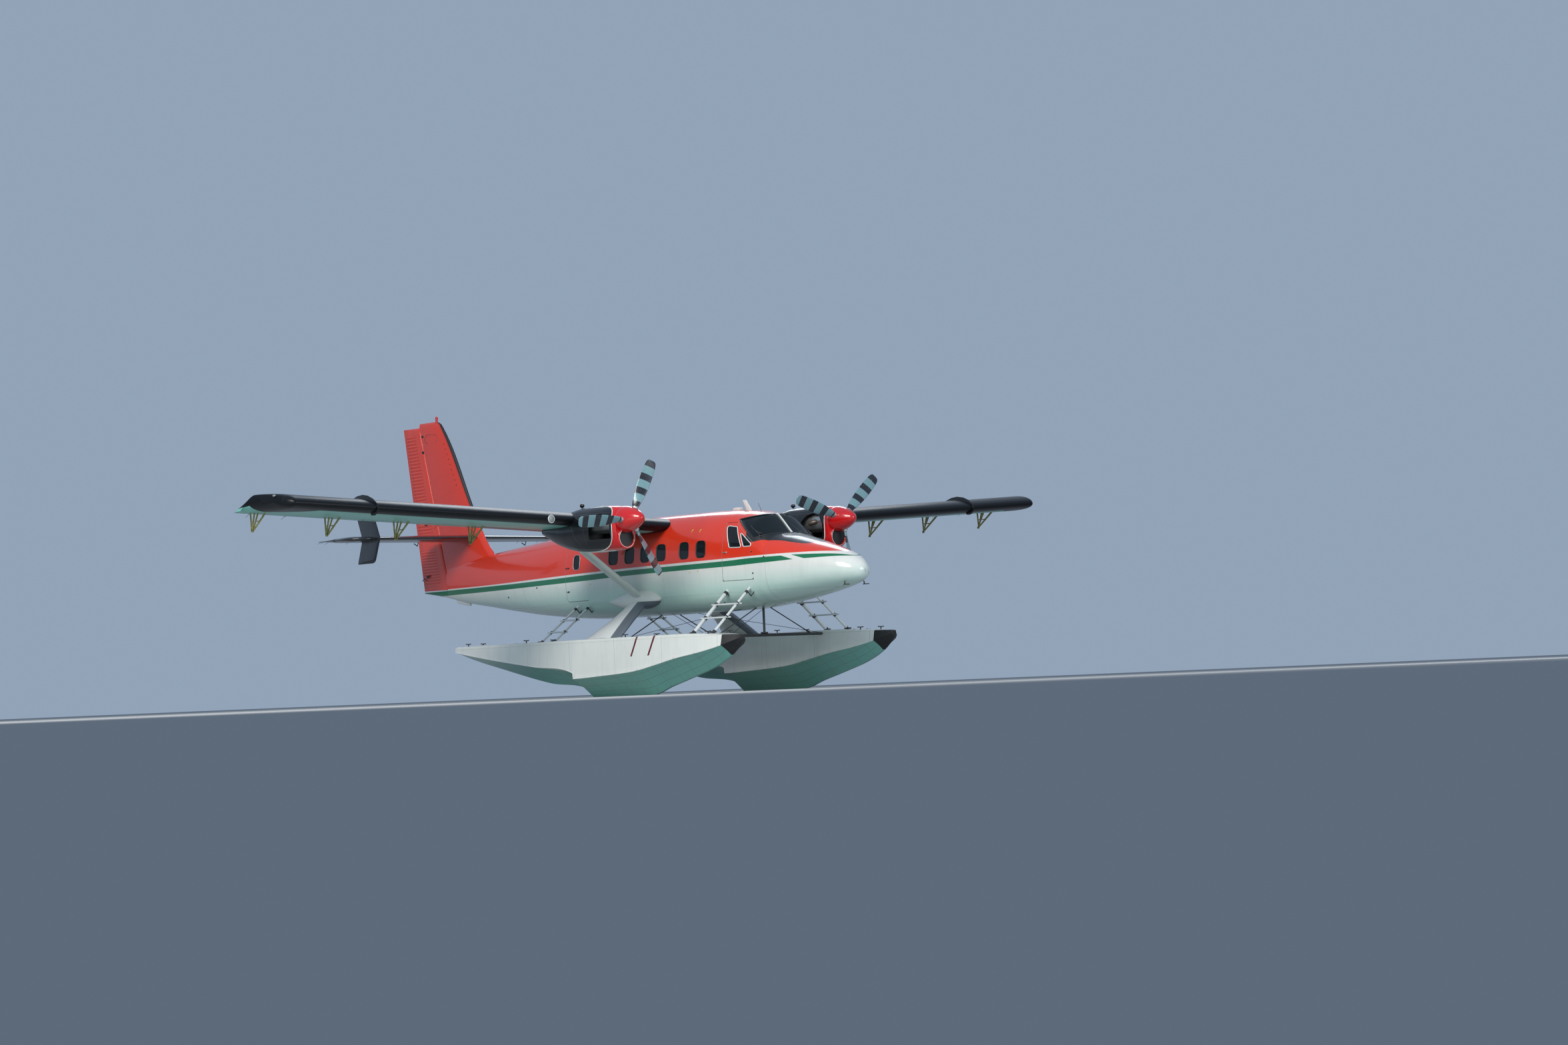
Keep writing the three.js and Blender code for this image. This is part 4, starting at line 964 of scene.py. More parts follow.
GLASS_DEPTHS = (12, 20)
CREW_XS = list(np.arange(2720, 1690, -22.0))
REAR_XS = list(np.arange(-2400, -3420, -45.0))
CABIN_XS = list(np.arange(1400, -1900, -60.0))
CREW_GLASS = [rounded(CREW_PANES[0], [45, 35, 55, 45], 6), rounded(CREW_PANES[1], [20, 14, 14, 26], 5)]
REAR_GLASS = [pane_outline(*REAR_PANE, 100)]
CABIN_GLASS = [pane_outline(x) for x in PANE_XS]
for name, side in SIDES.items():
    body = f"crew_door_{name}"
    leaf(f"crew_leaf_{name}", CREW_LEAF, side, CREW_GLASS, CREW_XS, [60, 60, 30, 30, 40], body)
    glazed(f"crew_panes_{name}", f"crew_pane_frames_{name}", CREW_GLASS, side, CREW_XS, body,
           f"crew_door_glass_{name}", 0.010, WHITE_METAL)
    body = f"rear_door_{name}"
    outline = leaf_outline(*REAR_OPENINGS[name])
    leaf(f"rear_leaf_{name}", outline, side, REAR_GLASS, REAR_XS, 52, body)
    glazed(f"rear_pane_{name}", f"rear_pane_frame_{name}", REAR_GLASS, side, REAR_XS, body,
           f"rear_door_glass_{name}", 0.008, SATIN_METAL)
    glazed(f"cabin_panes_{name}", f"cabin_pane_frames_{name}", CABIN_GLASS, side, CABIN_XS, "airframe",
           f"cabin_windows_{name}", 0.005, DARK_METAL, "black_rubber")

BAGGAGE_XS = list(np.arange(-3800, -4720, -45.0))
leaf("baggage_leaf", leaf_outline(*BAGGAGE_OPENING), LEFT, [], BAGGAGE_XS, 42, "baggage_door")
print("doors done")

# %% [markdown]
# ### Windscreen
# Two raked panes meet at a narrow post on the centreline. A dark seal runs round them, and the post
# between windscreen and side window slopes the same way as the door's front edge. Each pane has a wiper.

# %% Windscreen
SCREEN_XS = list(np.arange(3000, 1900, -22.0))


def screen_edge(side, out):
    """The pane's edge on the skin: lower edge, slanting post and roof edge."""
    path = []
    for (x0, z0), (x1, z1) in zip(SCREEN, SCREEN[1:]):
        for t in np.linspace(0, 1, 24):
            path.append(side_at(x0 + (x1 - x0) * t, z0 + (z1 - z0) * t, side, out))
    path = [point for point in path if abs(point[1]) > POST_HALF]
    return even(row(path), 70)


screen_cut = SCREEN[1:3] + SCREEN_AHEAD + SCREEN[:1]
screen = shell_between("windscreen_panes", SCREEN_XS, *GLASS_DEPTHS)
sides = [through("pane", grown(screen_cut, 12), side, POST_HALF - 8) for side in (LEFT, RIGHT)]
cut(screen, joined("panes", sides), "INTERSECT")
fixed(soften(screen, 30), SCREEN_GLASS, "clear_glass", "windscreen")

edges = [tube("edge", screen_edge(side, 1), 0.009, 8) for side in (LEFT, RIGHT)]
fittings("windscreen_seal", edges, DARK_METAL, "black_rubber")
top_line = row([(x, 0, rows_at(STATIONS, x)[0] + 4) for x in np.linspace(2965, 2540, 18)])
fixed(tube("windscreen_post", top_line, 0.018, 10), WHITE_METAL, "orange_skin")


def wiper(side):
    """A pivot, an arm and a blade lying along the lower part of the pane."""
    foot = row(side_at(2790, -310, side, 16))
    middle = row(side_at(2650, -200, side, 26))
    line = ((2790, -260), (2690, -215), (2590, -150), (2500, -80))
    blade = row([side_at(x, z, side, 20) for x, z in line])
    return [tube("arm", [foot, (foot + middle) / 2 + (0.01, side * 0.01, 0.01), middle], 0.007, 6),
            tube("blade", blade, 0.009, 6), blob("pivot", foot, (0.02, 0.02, 0.014))]


fittings("wipers", wiper(LEFT) + wiper(RIGHT), DARK_METAL, "black_rubber")
print("windscreen done")

# %% [markdown]
# ### Inside
# Little shows through the dark glass, but the doors open, so the cabin is furnished: a panel, a floor, a
# bulkhead and light seats with soft cushions. The cushions are subdivision cages.

# %% Seats and panel
def seat_fabric():
    f = Finish("seat_fabric", (0.055, 0.07, 0.11), 0.85)
    weave = f.noise(220, 2)
    panel = f.y.every(0.09, 0.006, 0.004)
    f.paint(weave * 0.35, (0.1, 0.12, 0.17)).paint(panel * 0.6, (0.02, 0.025, 0.04))
    return f.done(f.relief(weave - panel, 0.0012, 0.5))


SEAT_FABRIC = seat_fabric()
FLOOR_TOP = -1559.7


def cushion(name, low, high):
    """A stuffed pad: a box divided in three and smoothed, with the middle of each face pushed out."""
    pad = brick(name, low, high, 0)
    edit(pad, lambda: bpy.ops.mesh.subdivide(number_cuts=2))
    middle = (Vector(low) + Vector(high)) / 2
    size = Vector(high) - Vector(low)
    for vertex in pad.data.vertices:
        away = vertex.co - middle
        spread = [abs(away[i]) / (size[i] / 2) for i in range(3)]
        inner = sum(1 for share in spread if share < 0.5)
        if inner == 2:
            vertex.co = middle + away * 1.06
    apply(pad, "SUBSURF", levels=2, render_levels=2)
    fixed(soften(pad, 60), SEAT_FABRIC, "seat_fabric")


def seat(tag, x, y, width):
    """Seat pan, back and a frame of tubes. Sizes follow the frame's seat."""
    z, half = FLOOR_TOP, width / 2 - 6
    cushion(f"seat_pad_{tag}", row((x - 12, y - half, z + 336)), row((x + 424, y + half, z + 424)))
    cushion(f"seat_back_{tag}", row((x - 104, y - half, z + 436)), row((x - 16, y + half, z + 955)))
    parts = []
    for leg in (-115, 115):
        for foot_x, top_x in ((x + 70, x + 40), (x + 330, x + 360)):
            parts.append(rod([(foot_x, y + leg, z + 26), (top_x, y + leg, z + 335)], 0.013, 8))
        corner = (x - 60, y + leg * 1.4, z + 350)
        for end in ((x - 60, y + leg * 1.4, z + 900), (x + 400, y + leg * 1.4, z + 345)):
            parts.append(rod([corner, end], 0.011, 8))
    fittings(f"seat_frame_{tag}", parts, SATIN_METAL)


def rails(name, ys, front, back, node):
    low, high = FLOOR_TOP, FLOOR_TOP + 25
    parts = [brick("rail", row((back, y - 25, low)), row((front, y + 25, high))) for y in ys]
    parts.append(brick("tie", row((back, min(ys), low)), row((back + 60, max(ys), high))))
    fittings(name, parts, DARK_METAL, "strut_metal", node)


for name, side in SIDES.items():
    for index, x in enumerate((650, -120, -890, -1660)):
        seat(f"{name}_{index + 1}", x, side * 420, 430)
    seat(f"pilot_{name}", 1700, side * 350, 440)
    rails(f"seat_rails_{name}", [side * 305, side * 535], 1150, -1800, f"cabin_seats_{name}")
rails("pilot_rails", [-465, -235, 235, 465], 2100, 1600, "pilot_seats")


def panel_face():
    f = Finish("panel_face", (0.035, 0.037, 0.04), 0.5)
    sockets = {"Vector": f.place((0, 1, 1)), "Scale": 9.0, "Randomness": 0.0}
    dials = f.node("ShaderNodeTexVoronoi", {"distance": "EUCLIDEAN"}, sockets)
    ring = Signal(f, dials.outputs["Distance"])
    face = ring.below(0.30, 0.01)
    f.paint(face, (0.006, 0.006, 0.007)).paint(ring.between(0.30, 0.34, 0.01), (0.28, 0.28, 0.27))
    f.rough(face, 0.12)
    return f.done(f.relief(ring.between(0.29, 0.36, 0.02), 0.002, 0.6))


PLAIN_NODES = {
    "instrument_panel": panel_face(),
    "cabin_floor": trim_paint("floor_lining", (0.12, 0.12, 0.12)),
    "rear_bulkhead": CABIN_TRIM,
    "engine_left": SATIN_METAL,
    "engine_right": SATIN_METAL,
}
for name, material in PLAIN_NODES.items():
    nodes[name].data.materials.clear()
    nodes[name].data.materials.append(material)
print("inside done")


# %% [markdown]
# ### Small parts on the fuselage
# Door handles, latches, yellow marks, drains, the swept blade antenna and a white box on the roof, a thin
# whip, pitot tubes under the nose and the pad under the tail are all small, but they set the scale.

# %% Fuselage fittings
def handle(x, z, side, length=0.09, lift=14):
    points = row([side_at(x - length * 500, z, side, lift), side_at(x + length * 500, z + 3, side, lift)])
    base = row(side_at(x + length * 380, z, side, 4))
    return [tube("bar", points, 0.008, 8), blob("base", base, (0.02, 0.012, 0.02))]


MARKS = [(1072, -108), (818, -96), (1060, -915), (812, -930), (-160, -945), (-1290, -985), (-2420, -1010)]
DOTS = [(2660, -1026), (2630, -600), (1650, -1560), (-4420, -985), (-5730, -1130), (2960, -717)]
for name, side in SIDES.items():
    group(f"crew_handle_{name}", handle(1885, -580, side, 0.11), f"crew_door_{name}", SATIN_METAL,
          "strut_metal")
    group(f"rear_handle_{name}", handle(-3215, -640, side, 0.12) + handle(-3210, -1130, side, 0.06),
          f"rear_door_{name}", DARK_METAL, "strut_metal")
    dots = [blob("dot", row(side_at(x, z, side, 4)), (0.022, 0.010, 0.014)) for x, z in DOTS]
    fittings(f"side_fittings_{name}", dots)
    marks = []
    for x, z in MARKS:
        up = 1 if z > -500 else 0.5
        beam = [(-22, 14), (26, 20), (26, 40), (-22, 34)]
        stem = [(-22, -24), (-6, -22), (-6, 20), (-22, 16)]
        for corners, high in ((beam, 2.5), (stem, 2.4)):
            marks.append(patch("mark", [(x + dx, z + dz * up) for dx, dz in corners], side, 0.5, high))
    fittings(f"yellow_marks_{name}", marks, YELLOW_PAINT, "orange_skin")
group("baggage_handle", handle(-4490, -800, LEFT, 0.10), "baggage_door", SATIN_METAL, "strut_metal")


def blade_antenna():
    rings = []
    for t in np.linspace(0, 1, 9):
        x, z = 1660 - 150 * t, 262 + 225 * t
        chord, thick = 165 - 50 * t, 26 - 16 * t
        a = turns(20)
        rings.append(row(columns(x + chord / 2 * np.cos(a) + 40, thick / 2 * np.sin(a), z)))
    return skin("blade_antenna", rings, 40)


roof = [blade_antenna(), brick("box", row((1250, -55, 285)), row((1440, 55, 345)), 0.012)]
fittings("roof_antennas", roof, GLOSS_WHITE, "orange_skin")
whip = rod([(2200, -120, 215), (2170, -125, 300), (2120, -130, 385)], 0.004, 6)
pitots = []
for side in (LEFT, RIGHT):
    pitots.append(rod([(4720, side * 250, -1290), (4735, side * 255, -1350)], 0.013, 8))
    pitots.append(rod([(4690, side * 255, -1350), (4860, side * 255, -1352)], 0.009, 8))
fittings("whip_and_pitots", [whip, *pitots])

pad = []
for x, half in ((-7780, 30), (-7860, 42), (-8000, 46), (-8160, 40), (-8250, 26)):
    low = -1235 - (x + 7780) * 0.18
    a = turns(14)
    pad.append(row(columns(x, half * np.cos(a), low + 60 + 64 * np.sin(a))))
fixed(skin("tail_pad", pad, 45), GLOSS_WHITE, "orange_skin")
print("fuselage fittings done")


# %% [markdown]
# ## Tail
# The fin grows out of the cone with a curved fillet. Its rudder turns about a slanting hinge line, so the
# rudder's front edge is rounded about that line and keeps the same gap at every angle. The rudder and
# elevators are skinned with fluted sheet, which stiffens thin metal: the flutes are modelled as ridges.

# %% Aerofoil helpers
def thickness(f, ratio):
    f = np.clip(f, 0, 1)
    return 5 * ratio * (0.2969 * np.sqrt(f) - 0.126 * f - 0.3516 * f**2 + 0.2843 * f**3 - 0.1036 * f**4)


HINGE_SLOPE, BACK_SLOPE = 0.265, 0.16


def rudder_hinge(z):
    return -8710 - HINGE_SLOPE * z


def rudder_back(z):
    return -9600 - BACK_SLOPE * z


def rudder_front(z):
    return -7213 - 0.551 * (z - 300)


def fin_half(z, front, x):
    chord = front - rudder_back(z)
    return np.maximum(thickness((front - x) / chord, 0.10) * chord, 4)


def rudder_gap(z):
    """Where the fin ends: the rudder's rounded front edge and 14 mm of room."""
    hinge = rudder_hinge(z)
    return hinge + fin_half(z, rudder_front(z), hinge) + 14


def flutes(place, first, last, pitch):
    """Height of rounded ridges, 0 to 1, between two places along a surface."""
    wave = np.cos((place - first) / pitch * 2 * math.pi) * 0.5 + 0.5
    ends = np.clip((place - first) / pitch * 2, 0, 1) * np.clip((last - place) / pitch * 2, 0, 1)
    return (1 - wave) ** 2 * ends


def hinged_ring(hinge, back, half, ridge=0.0, band=(0.28, 0.9), count=14):
    """[x, offset] of a hinged surface: a nose rounded about the hinge, then the two sides."""
    radius = float(half(hinge))
    arc = np.linspace(-math.pi / 2, math.pi / 2, 13)
    nose = [(hinge + radius * math.cos(a), radius * math.sin(a)) for a in arc]
    share = np.linspace(0, 1, count)[1:]
    x = hinge + (back - hinge) * share
    lift = ridge * np.clip((share - band[0]) * 30, 0, 1) * np.clip((band[1] - share) * 30, 0, 1)
    side = np.maximum(half(x), 4) + lift
    return nose + list(zip(x, side)) + list(zip(x[::-1], -side[::-1]))


# %% [markdown]
# The fin's leading edge has a black rubber boot, and a row of small round studs runs down beside it.
# The tailplane passes through the fin. It is black, like the wing, and has a small fin near each end.

# %% Fin, rudder and cone
FIN_EDGE = [(-700, -6700), (-420, -6740), (-150, -6850), (60, -7040), (220, -7158), (360, -7246),
            (900, -7544), (2780, -8580), (2840, -8640), (2875, -8720), (2890, -8800)]


def fin_paint():
    f = Finish("fin_paint", ORANGE, 0.22, coat=0.7)
    grime(f, 0.10, (0.35, 0.02, 0.01))
    lead = f.x - curve_of(f, f.z, [(z / 1000, x / 1000) for z, x in FIN_EDGE], ABOVE, AHEAD)
    boot = lead.above(-0.045, 0.006) * f.z.above(ABOVE + 0.5, 0.05)
    band = lead.near(-0.06, 0.02) * f.z.above(ABOVE + 0.50, 0.02)
    f.paint(boot, BLACK).rough(boot, 0.5).paint(band * 0.4, (0.2, 0.02, 0.01))
    spar = (f.x + f.z * HINGE_SLOPE).near(-8.53 + AHEAD + HINGE_SLOPE * ABOVE, 0.006)
    ribs = (f.z - f.x * 0.22).every(0.42, 0.004) * f.x.above(-9.4 + AHEAD)
    line = seams(f, [ribs * 0.6, spar], (0.25, 0.012, 0.008), 0.7)
    f.paint((f.z - curve_of(f, f.x, RED_EDGE)).below(0, PAINT_EDGE), WHITE)
    f.paint(stripe(f, GREEN_TOP, GREEN_LOW), GREEN)
    return f.done(f.relief(line, 0.001, 0.5))


def rudder_paint():
    f = Finish("rudder_paint", (0.78, 0.05, 0.02), 0.28, coat=0.5)
    grime(f, 0.12, (0.35, 0.02, 0.01))
    to_hinge, hinge_zero = f.x + f.z * HINGE_SLOPE, AHEAD + HINGE_SLOPE * ABOVE
    to_back, back_zero = f.x + f.z * BACK_SLOPE, AHEAD + BACK_SLOPE * ABOVE
    back = to_back.near(back_zero - 9.46, 0.008) * f.z.above(ABOVE - 0.8)
    nose = to_hinge.near(hinge_zero - 8.90, 0.006)
    # The flutes get thin dark red lines between their ridges: painted shade in the hollows.
    upper = (f.z - (ABOVE + 0.43)).every(0.074, 0.010, 0.006) * f.z.between(ABOVE + 0.43, ABOVE + 2.64)
    lower = (f.z - (ABOVE - 0.69)).every(0.062, 0.009, 0.006) * f.z.below(ABOVE + 0.06)
    fluted = upper.either(lower) * to_hinge.below(hinge_zero - 8.98, 0.01)
    f.paint(fluted * 0.6, (0.32, 0.014, 0.008))
    line = seams(f, [back, nose], (0.06, 0.008, 0.006), 0.8)
    f.paint(to_back.below(back_zero - 9.50) * 0.25, (0.45, 0.03, 0.015))
    return f.done(f.relief(line, 0.001, 0.5))


FIN_PAINT, RUDDER_PAINT = fin_paint(), rudder_paint()


def narrowed(past, length, least):
    """1 up to where a tip begins, then smaller on an ellipse, down to the root of the least share."""
    return math.sqrt(max(1 - max(past / length, 0) ** 2, least))


def fin_skin():
    rings = []
    tip = (2760, 2800, 2836, 2862, 2880, 2889)
    for z in [*np.linspace(-700, 340, 16), *np.linspace(420, 2700, 24), *tip]:
        front = float(rows_at(FIN_EDGE, z)[0])
        to = rudder_gap(z)
        x = front + (to - front) * np.linspace(0, 1, 22) ** 2
        y = fin_half(z, front, x) * narrowed(z - 2700, 190, 0.02)
        rings.append(there_and_back((x, y, z), (x, -y, z)))
    return fixed(skin("fin_skin", rings, 30), FIN_PAINT, "orange_skin", "fin")


def rudder_skin():
    rings = []
    fluted = [*np.arange(-690, 60, 9.0), *np.arange(60, 420, 45), *np.arange(430, 2640, 9.0)]
    for z in [*np.arange(-845, -700, 24), *fluted, 2680, 2740, 2775, 2790, 2799]:
        inside = -690 < z < 60 or 430 < z < 2640
        ridge = 7.0 * float(flutes(z, -690, 60, 62) + flutes(z, 430, 2640, 74)) if inside else 0
        thin = narrowed(z - 2700, 101, 0.03)
        half = lambda x, z=z, thin=thin: fin_half(z, rudder_front(z), x) * thin
        rings.append(row([(x, y, z) for x, y in hinged_ring(rudder_hinge(z), rudder_back(z), half, ridge)]))
    return finish(skin("rudder_skin", rings, 40), "rudder", RUDDER_PAINT, "orange_skin", "rudder")


cone_skin()
fin_skin()
rudder_skin()

bits = [blob("horn", row((-9255, side * 62, z)), (0.055, 0.018, 0.03))
        for side in (1, -1) for z in (2590, 2242, 640, -520)]
link = rod([(-9300, -50, -600), (-9370, -80, -560), (-9480, -45, -610)], 0.009, 6)
group("rudder_fittings", bits + [link], "rudder", DARK_METAL, "strut_metal")
studs = []
for t in np.linspace(0, 1, 9):
    x, z = -8462 + 424 * t, 2373 - 936 * t
    for side in (1, -1):
        y = side * (float(fin_half(z, float(rows_at(FIN_EDGE, z)[0]), x)) + 1)
        studs.append(blob("stud", row((x, y, z)), (0.014, 0.006, 0.014), segments=8, rings=6))
for side in (1, -1):
    loop = [(-8700, 2440), (-8700, 2560), (-8760, 2600), (-9060, 2620), (-9160, 2560), (-9160, 2470),
            (-9060, 2420)]
    path = [(x, side * (float(fin_half(z, rudder_front(z), x)) + 1.5), z) for x, z in rounded(loop, 50, 4)
            if x > rudder_hinge(z) + 130]
    studs.append(rod(path, 0.004, 6))
fittings("fin_studs", studs)
beacon = [rod([(-8790, 0, 2870), (-8790, 0, 2950)], 0.03, 14),
          blob("lens", row((-8790, 0, 2968)), (0.034, 0.034, 0.040))]
fittings("beacon", beacon, GLOSS_RED, "orange_skin")


def tail_black():
    f = Finish("tail_black", BLACK, 0.2, coat=0.9)
    grime(f, 0.5, (0.035, 0.037, 0.04))
    line = seams(f, [f.y.every(0.62, 0.004), f.x.near(-7.75 + AHEAD, 0.004), f.x.near(-8.15 + AHEAD, 0.004)],
                 (0.05, 0.05, 0.055), 0.6)
    return f.done(f.relief(line, 0.001, 0.5))


TAIL_BLACK = tail_black()
PLANE_Z, PLANE_BACK, PLANE_HINGE, PLANE_TIP = 250, -8950, -8400, 3150


def plane_front(y):
    return -7330 - 370 * abs(y) / PLANE_TIP


def plane_half(y, x):
    front = plane_front(y)
    chord = front - PLANE_BACK
    return np.maximum(thickness((front - x) / chord, 0.095) * chord, 4)


def tailplane_skin():
    rings = []
    to = PLANE_HINGE + float(plane_half(0, PLANE_HINGE)) + 14
    for y in [*np.linspace(-3149, -2650, 14), *np.linspace(-2500, 2500, 21), *np.linspace(2650, 3149, 14)]:
        front = plane_front(y) - 430 * (1 - narrowed(abs(y) - 2650, 500, 0))
        chord = front - PLANE_BACK
        x = front + (to - front) * np.linspace(0, 1, 20) ** 2
        rounder = thickness((front - x) / chord, 0.11) * chord + 3
        half = np.minimum(plane_half(y, x), rounder) * narrowed(abs(y) - 2900, 250, 0.03)
        rings.append(there_and_back((x, y, PLANE_Z + half), (x, y, PLANE_Z - half)))
    return fixed(skin("tailplane_skin", rings, 30), TAIL_BLACK, "black_wing", "tailplane")


def elevator_skin(name, side):
    rings = []
    for y in [190, *np.arange(200, 2960, 12.0), *np.linspace(2965, 3139, 10)]:
        thin = narrowed(y - 2900, 240, 0.03)
        back = PLANE_BACK + (540 * (1 - (y - 190) / 85) if y < 275 else 0)
        half = lambda x, thin=thin: plane_half(0, x) * thin
        ridge = 3.0 * float(flutes(y, 300, 2950, 92)) if 300 < y < 2950 else 0
        ring = hinged_ring(PLANE_HINGE, back, half, ridge)
        rings.append(row([(x, side * y, PLANE_Z + z) for x, z in ring]))
    return finish(skin(f"elevator_skin_{name}", rings, 40), f"elevator_{name}", TAIL_BLACK, "black_wing",
                  f"elevator_{name}")


def finlet_skin(name, side):
    halves = []
    for way in (1, -1):
        rings = []
        for t in [*np.linspace(0, 0.86, 12), 0.9, 0.94, 0.97, 0.99, 1.0]:
            round_off = 1 - narrowed(t - 0.86, 0.14, 0)
            front, back = -7400 - 220 * t - 110 * round_off, -8070 - 200 * t + 20 * round_off
            f = np.linspace(0, 1, 16) ** 1.6
            x = front + (back - front) * f
            half = thickness(f, 0.055) * (front - back) * max(1 - 0.8 * round_off, 0.15) + 2
            z = PLANE_Z + way * 530 * t
            middle = side * 2600
            rings.append(there_and_back((x, middle + half, z), (x, middle - half, z)))
        halves.append(skin("finlet_half", rings, 35))
    fittings(f"finlet_skin_{name}", halves, TAIL_BLACK, "black_wing", f"finlet_{name}")


WICK = [0.005, 0.004, 0.0025]
tailplane_skin()
for name, side in SIDES.items():
    elevator_skin(name, side)
    finlet_skin(name, side)
    wicks = []
    for y, x in ((3120, -8700), (3100, -8850), (2850, -8945), (2300, -8945)):
        path = [(x + 30, side * y, PLANE_Z), (x - 60, side * (y + 12), 243), (x - 170, side * (y + 20), 205)]
        wicks.append(rod(path, WICK, 6))
    for y in (900, 2050):
        path = [(PLANE_HINGE, side * y, 200), (-8440, side * y, 120), (-8560, side * y, 180)]
        wicks.append(rod(path, 0.010, 6))
    group(f"elevator_wicks_{name}", wicks, f"elevator_{name}", DARK_METAL, "strut_metal")
print("tail done")

# %% [markdown]
# ## Wing
# The wing is one straight panel with constant chord, a black leading edge and top, and a pale underside.
# The tips are drawn upwards: the top line runs straight out while the underside sweeps up to it. Behind
# the rear spar hang long slotted flaps and ailerons, on V-shaped arms well below the wing.

# %% Wing sections
WING = {"half_span": 9905, "chord": 1981, "ratio": 0.16, "camber": 0.03, "at": 0.4, "z": 25}
TIP_FROM = 9652
DIHEDRAL, INCIDENCE = math.tan(math.radians(3)), math.radians(2.5)
# fractions of the chord
SKIN_END, FLAP_FRONT, FLAP_SPLIT, AILERON_FRONT = 0.70, 0.715, 0.845, 0.875


def camber(f):
    m, p = WING["camber"], WING["at"]
    return np.where(f < p, m / p**2 * (2 * p * f - f**2), m / (1 - p) ** 2 * (1 - 2 * p + 2 * p * f - f**2))


def foil(fractions, side, thin=1.0, raised=0.0, ridge=0.0):
    """[x, z] at the root for fractions of the chord, on the upper (1) or lower (-1) surface."""
    f = np.asarray(fractions, float)
    chord = WING["chord"]
    half = thickness(f, WING["ratio"])
    z = (camber(f) + side * thin * half + raised * half) * chord + side * ridge
    x = -f * chord
    c, s = math.cos(INCIDENCE), math.sin(INCIDENCE)
    return np.stack([x * c - z * s, x * s + z * c + WING["z"]], axis=1)


def foil_ring(y, front, back, count=26, thin=1.0, raised=0.0, ridge=None):
    """One section of the wing between two fractions of the chord, over the top and back below."""
    t = np.linspace(0, 1, count)
    f = front + (back - front) * (t**2 if front == 0 else t)
    extra = ridge(f) if ridge else np.zeros(count)
    stop = -1 if front == 0 else None
    above = foil(f, 1, thin, raised, extra)
    below = foil(f[::-1][:stop], -1, thin, raised, extra[::-1][:stop])
    x, z = np.vstack([above, below]).T
    return row(columns(x, y, z + abs(y) * DIHEDRAL))


def over_camber(f, places):
    """Height over the wing's middle line, which is read off at a few places behind the leading edge."""
    mean = [(-place, float(foil([place / 1.981], 1, 0)[0, 1]) / 1000) for place in places]
    return f.z - f.y.math("ABSOLUTE") * DIHEDRAL - curve_of(f, f.x, sorted(mean))


def wing_paint():
    # The base is the pale underside colour, with the water's green-blue reflection painted into it.
    f = Finish("wing_paint", PALE_WITH_WATER_REFLECTION, 0.32, **{"Specular IOR Level": 0.25})
    grime(f, 0.22, (0.18, 0.24, 0.22))
    span = f.y.math("ABSOLUTE")
    lines = seams(f, [span.every(0.61, 0.004), f.x.near(AHEAD - 0.62, 0.004), f.x.near(AHEAD - 1.15, 0.004)],
                  (0.12, 0.2, 0.18), 0.5)
    top = over_camber(f, (0, 0.2, 0.5, 0.9, 1.3, 1.7, 1.981)).above(0.0, 0.004)
    lead = f.x.above(AHEAD - 0.205, 0.004)
    tip = (span + f.x * 0.85).above(8.83 + 0.85 * AHEAD, 0.004)
    root = span.below(0.93, 0.01)
    black = top.either(lead).either(tip).either(root)
    f.paint(black, BLACK)
    f.rough(black, 0.34)
    boot = f.x.near(AHEAD - 0.215, 0.008) * top
    f.paint(boot * 0.5, (0.05, 0.05, 0.055))
    walk = top * f.x.between(AHEAD - 1.3, AHEAD - 0.45) * span.below(1.9, 0.01)
    grit = f.noise(160, 2)
    f.rough(walk, 0.75)
    return f.done(f.relief(grit * walk - lines, 0.0012, 0.5))


WING_PAINT = wing_paint()


def wing_skin():
    ys = np.linspace(-TIP_FROM, TIP_FROM, 101)
    main = skin("wing_skin", [foil_ring(y, 0, SKIN_END) for y in ys], 30)
    tips = []
    for side in (LEFT, RIGHT):
        rings = []
        for t in np.linspace(0, 1, 22):
            angle = t * math.pi / 2
            thin = max(math.cos(angle), 0.02) ** 0.75
            y = side * (TIP_FROM + (WING["half_span"] - TIP_FROM) * math.sin(angle))
            ring = foil_ring(y, 0, 1.0, 34, thin, 1 - thin)
            inward = 1 - math.cos(angle)
            middle = row([(-1250, y, 0)])[0, 0]
            ring[:, 0] = middle + (ring[:, 0] - middle) * (1 - 0.62 * inward)
            rings.append(ring)
        tips.append(skin("tip", rings, 35))
    whole = joined("wing_skin", [main, *tips])
    fixed(soften(whole, 30), WING_PAINT, "black_wing", "wing", "wing_tip_left", "wing_tip_right")


# %% [markdown]
# The inboard flap is fluted sheet: narrow ridges run from front to back, about eighty millimetres apart.
# The outboard flap is only a narrow strip, and the aileron hangs behind it on the flap itself, so it
# moves with the flap as well as on its own hinge.

# %% Flaps and ailerons
def flap_paint():
    f = Finish("flap_paint", BLACK, 0.34, coat=0.4)
    grime(f, 0.8, (0.05, 0.045, 0.04))
    span = f.y.math("ABSOLUTE")
    under = over_camber(f, (1.2, 1.5, 1.7, 1.981)).below(0.0, 0.004) * span.above(4.36, 0.004)
    # The outer flaps' underside is pale, with a painted reflection of the water in its colour.
    f.paint(under, PALE_WITH_WATER_REFLECTION)
    rust = f.noise(9, 4, stretch=(0.4, 1.4, 1), low=0.5, high=0.75)
    f.paint(rust * span.below(4.36, 0.004) * 0.35, (0.10, 0.065, 0.045))
    return f.done(f.relief(rust, 0.0006, 0.3))


FLAP_PAINT = flap_paint()


def strap(a, b, width, y, thick=14):
    """A flat bar between two points in side view."""
    across = np.array([a[1] - b[1], b[0] - a[0]])
    across = across / np.linalg.norm(across) * width / 2
    outline = rounded([a + across, b + across * 0.7, b - across * 0.7, a - across], width * 0.25, 3)
    return side_prism("strap", outline, y - thick / 2, y + thick / 2)


ARM_YS = (1060, 4470, 6270, 7880, 9570)
FIXED_ARM = [(-1080, -70), (-1400, -75), (-1650, -455)]
MOVING_ARM = [(-1505, -75), (-1668, -70), (-1640, -450)]


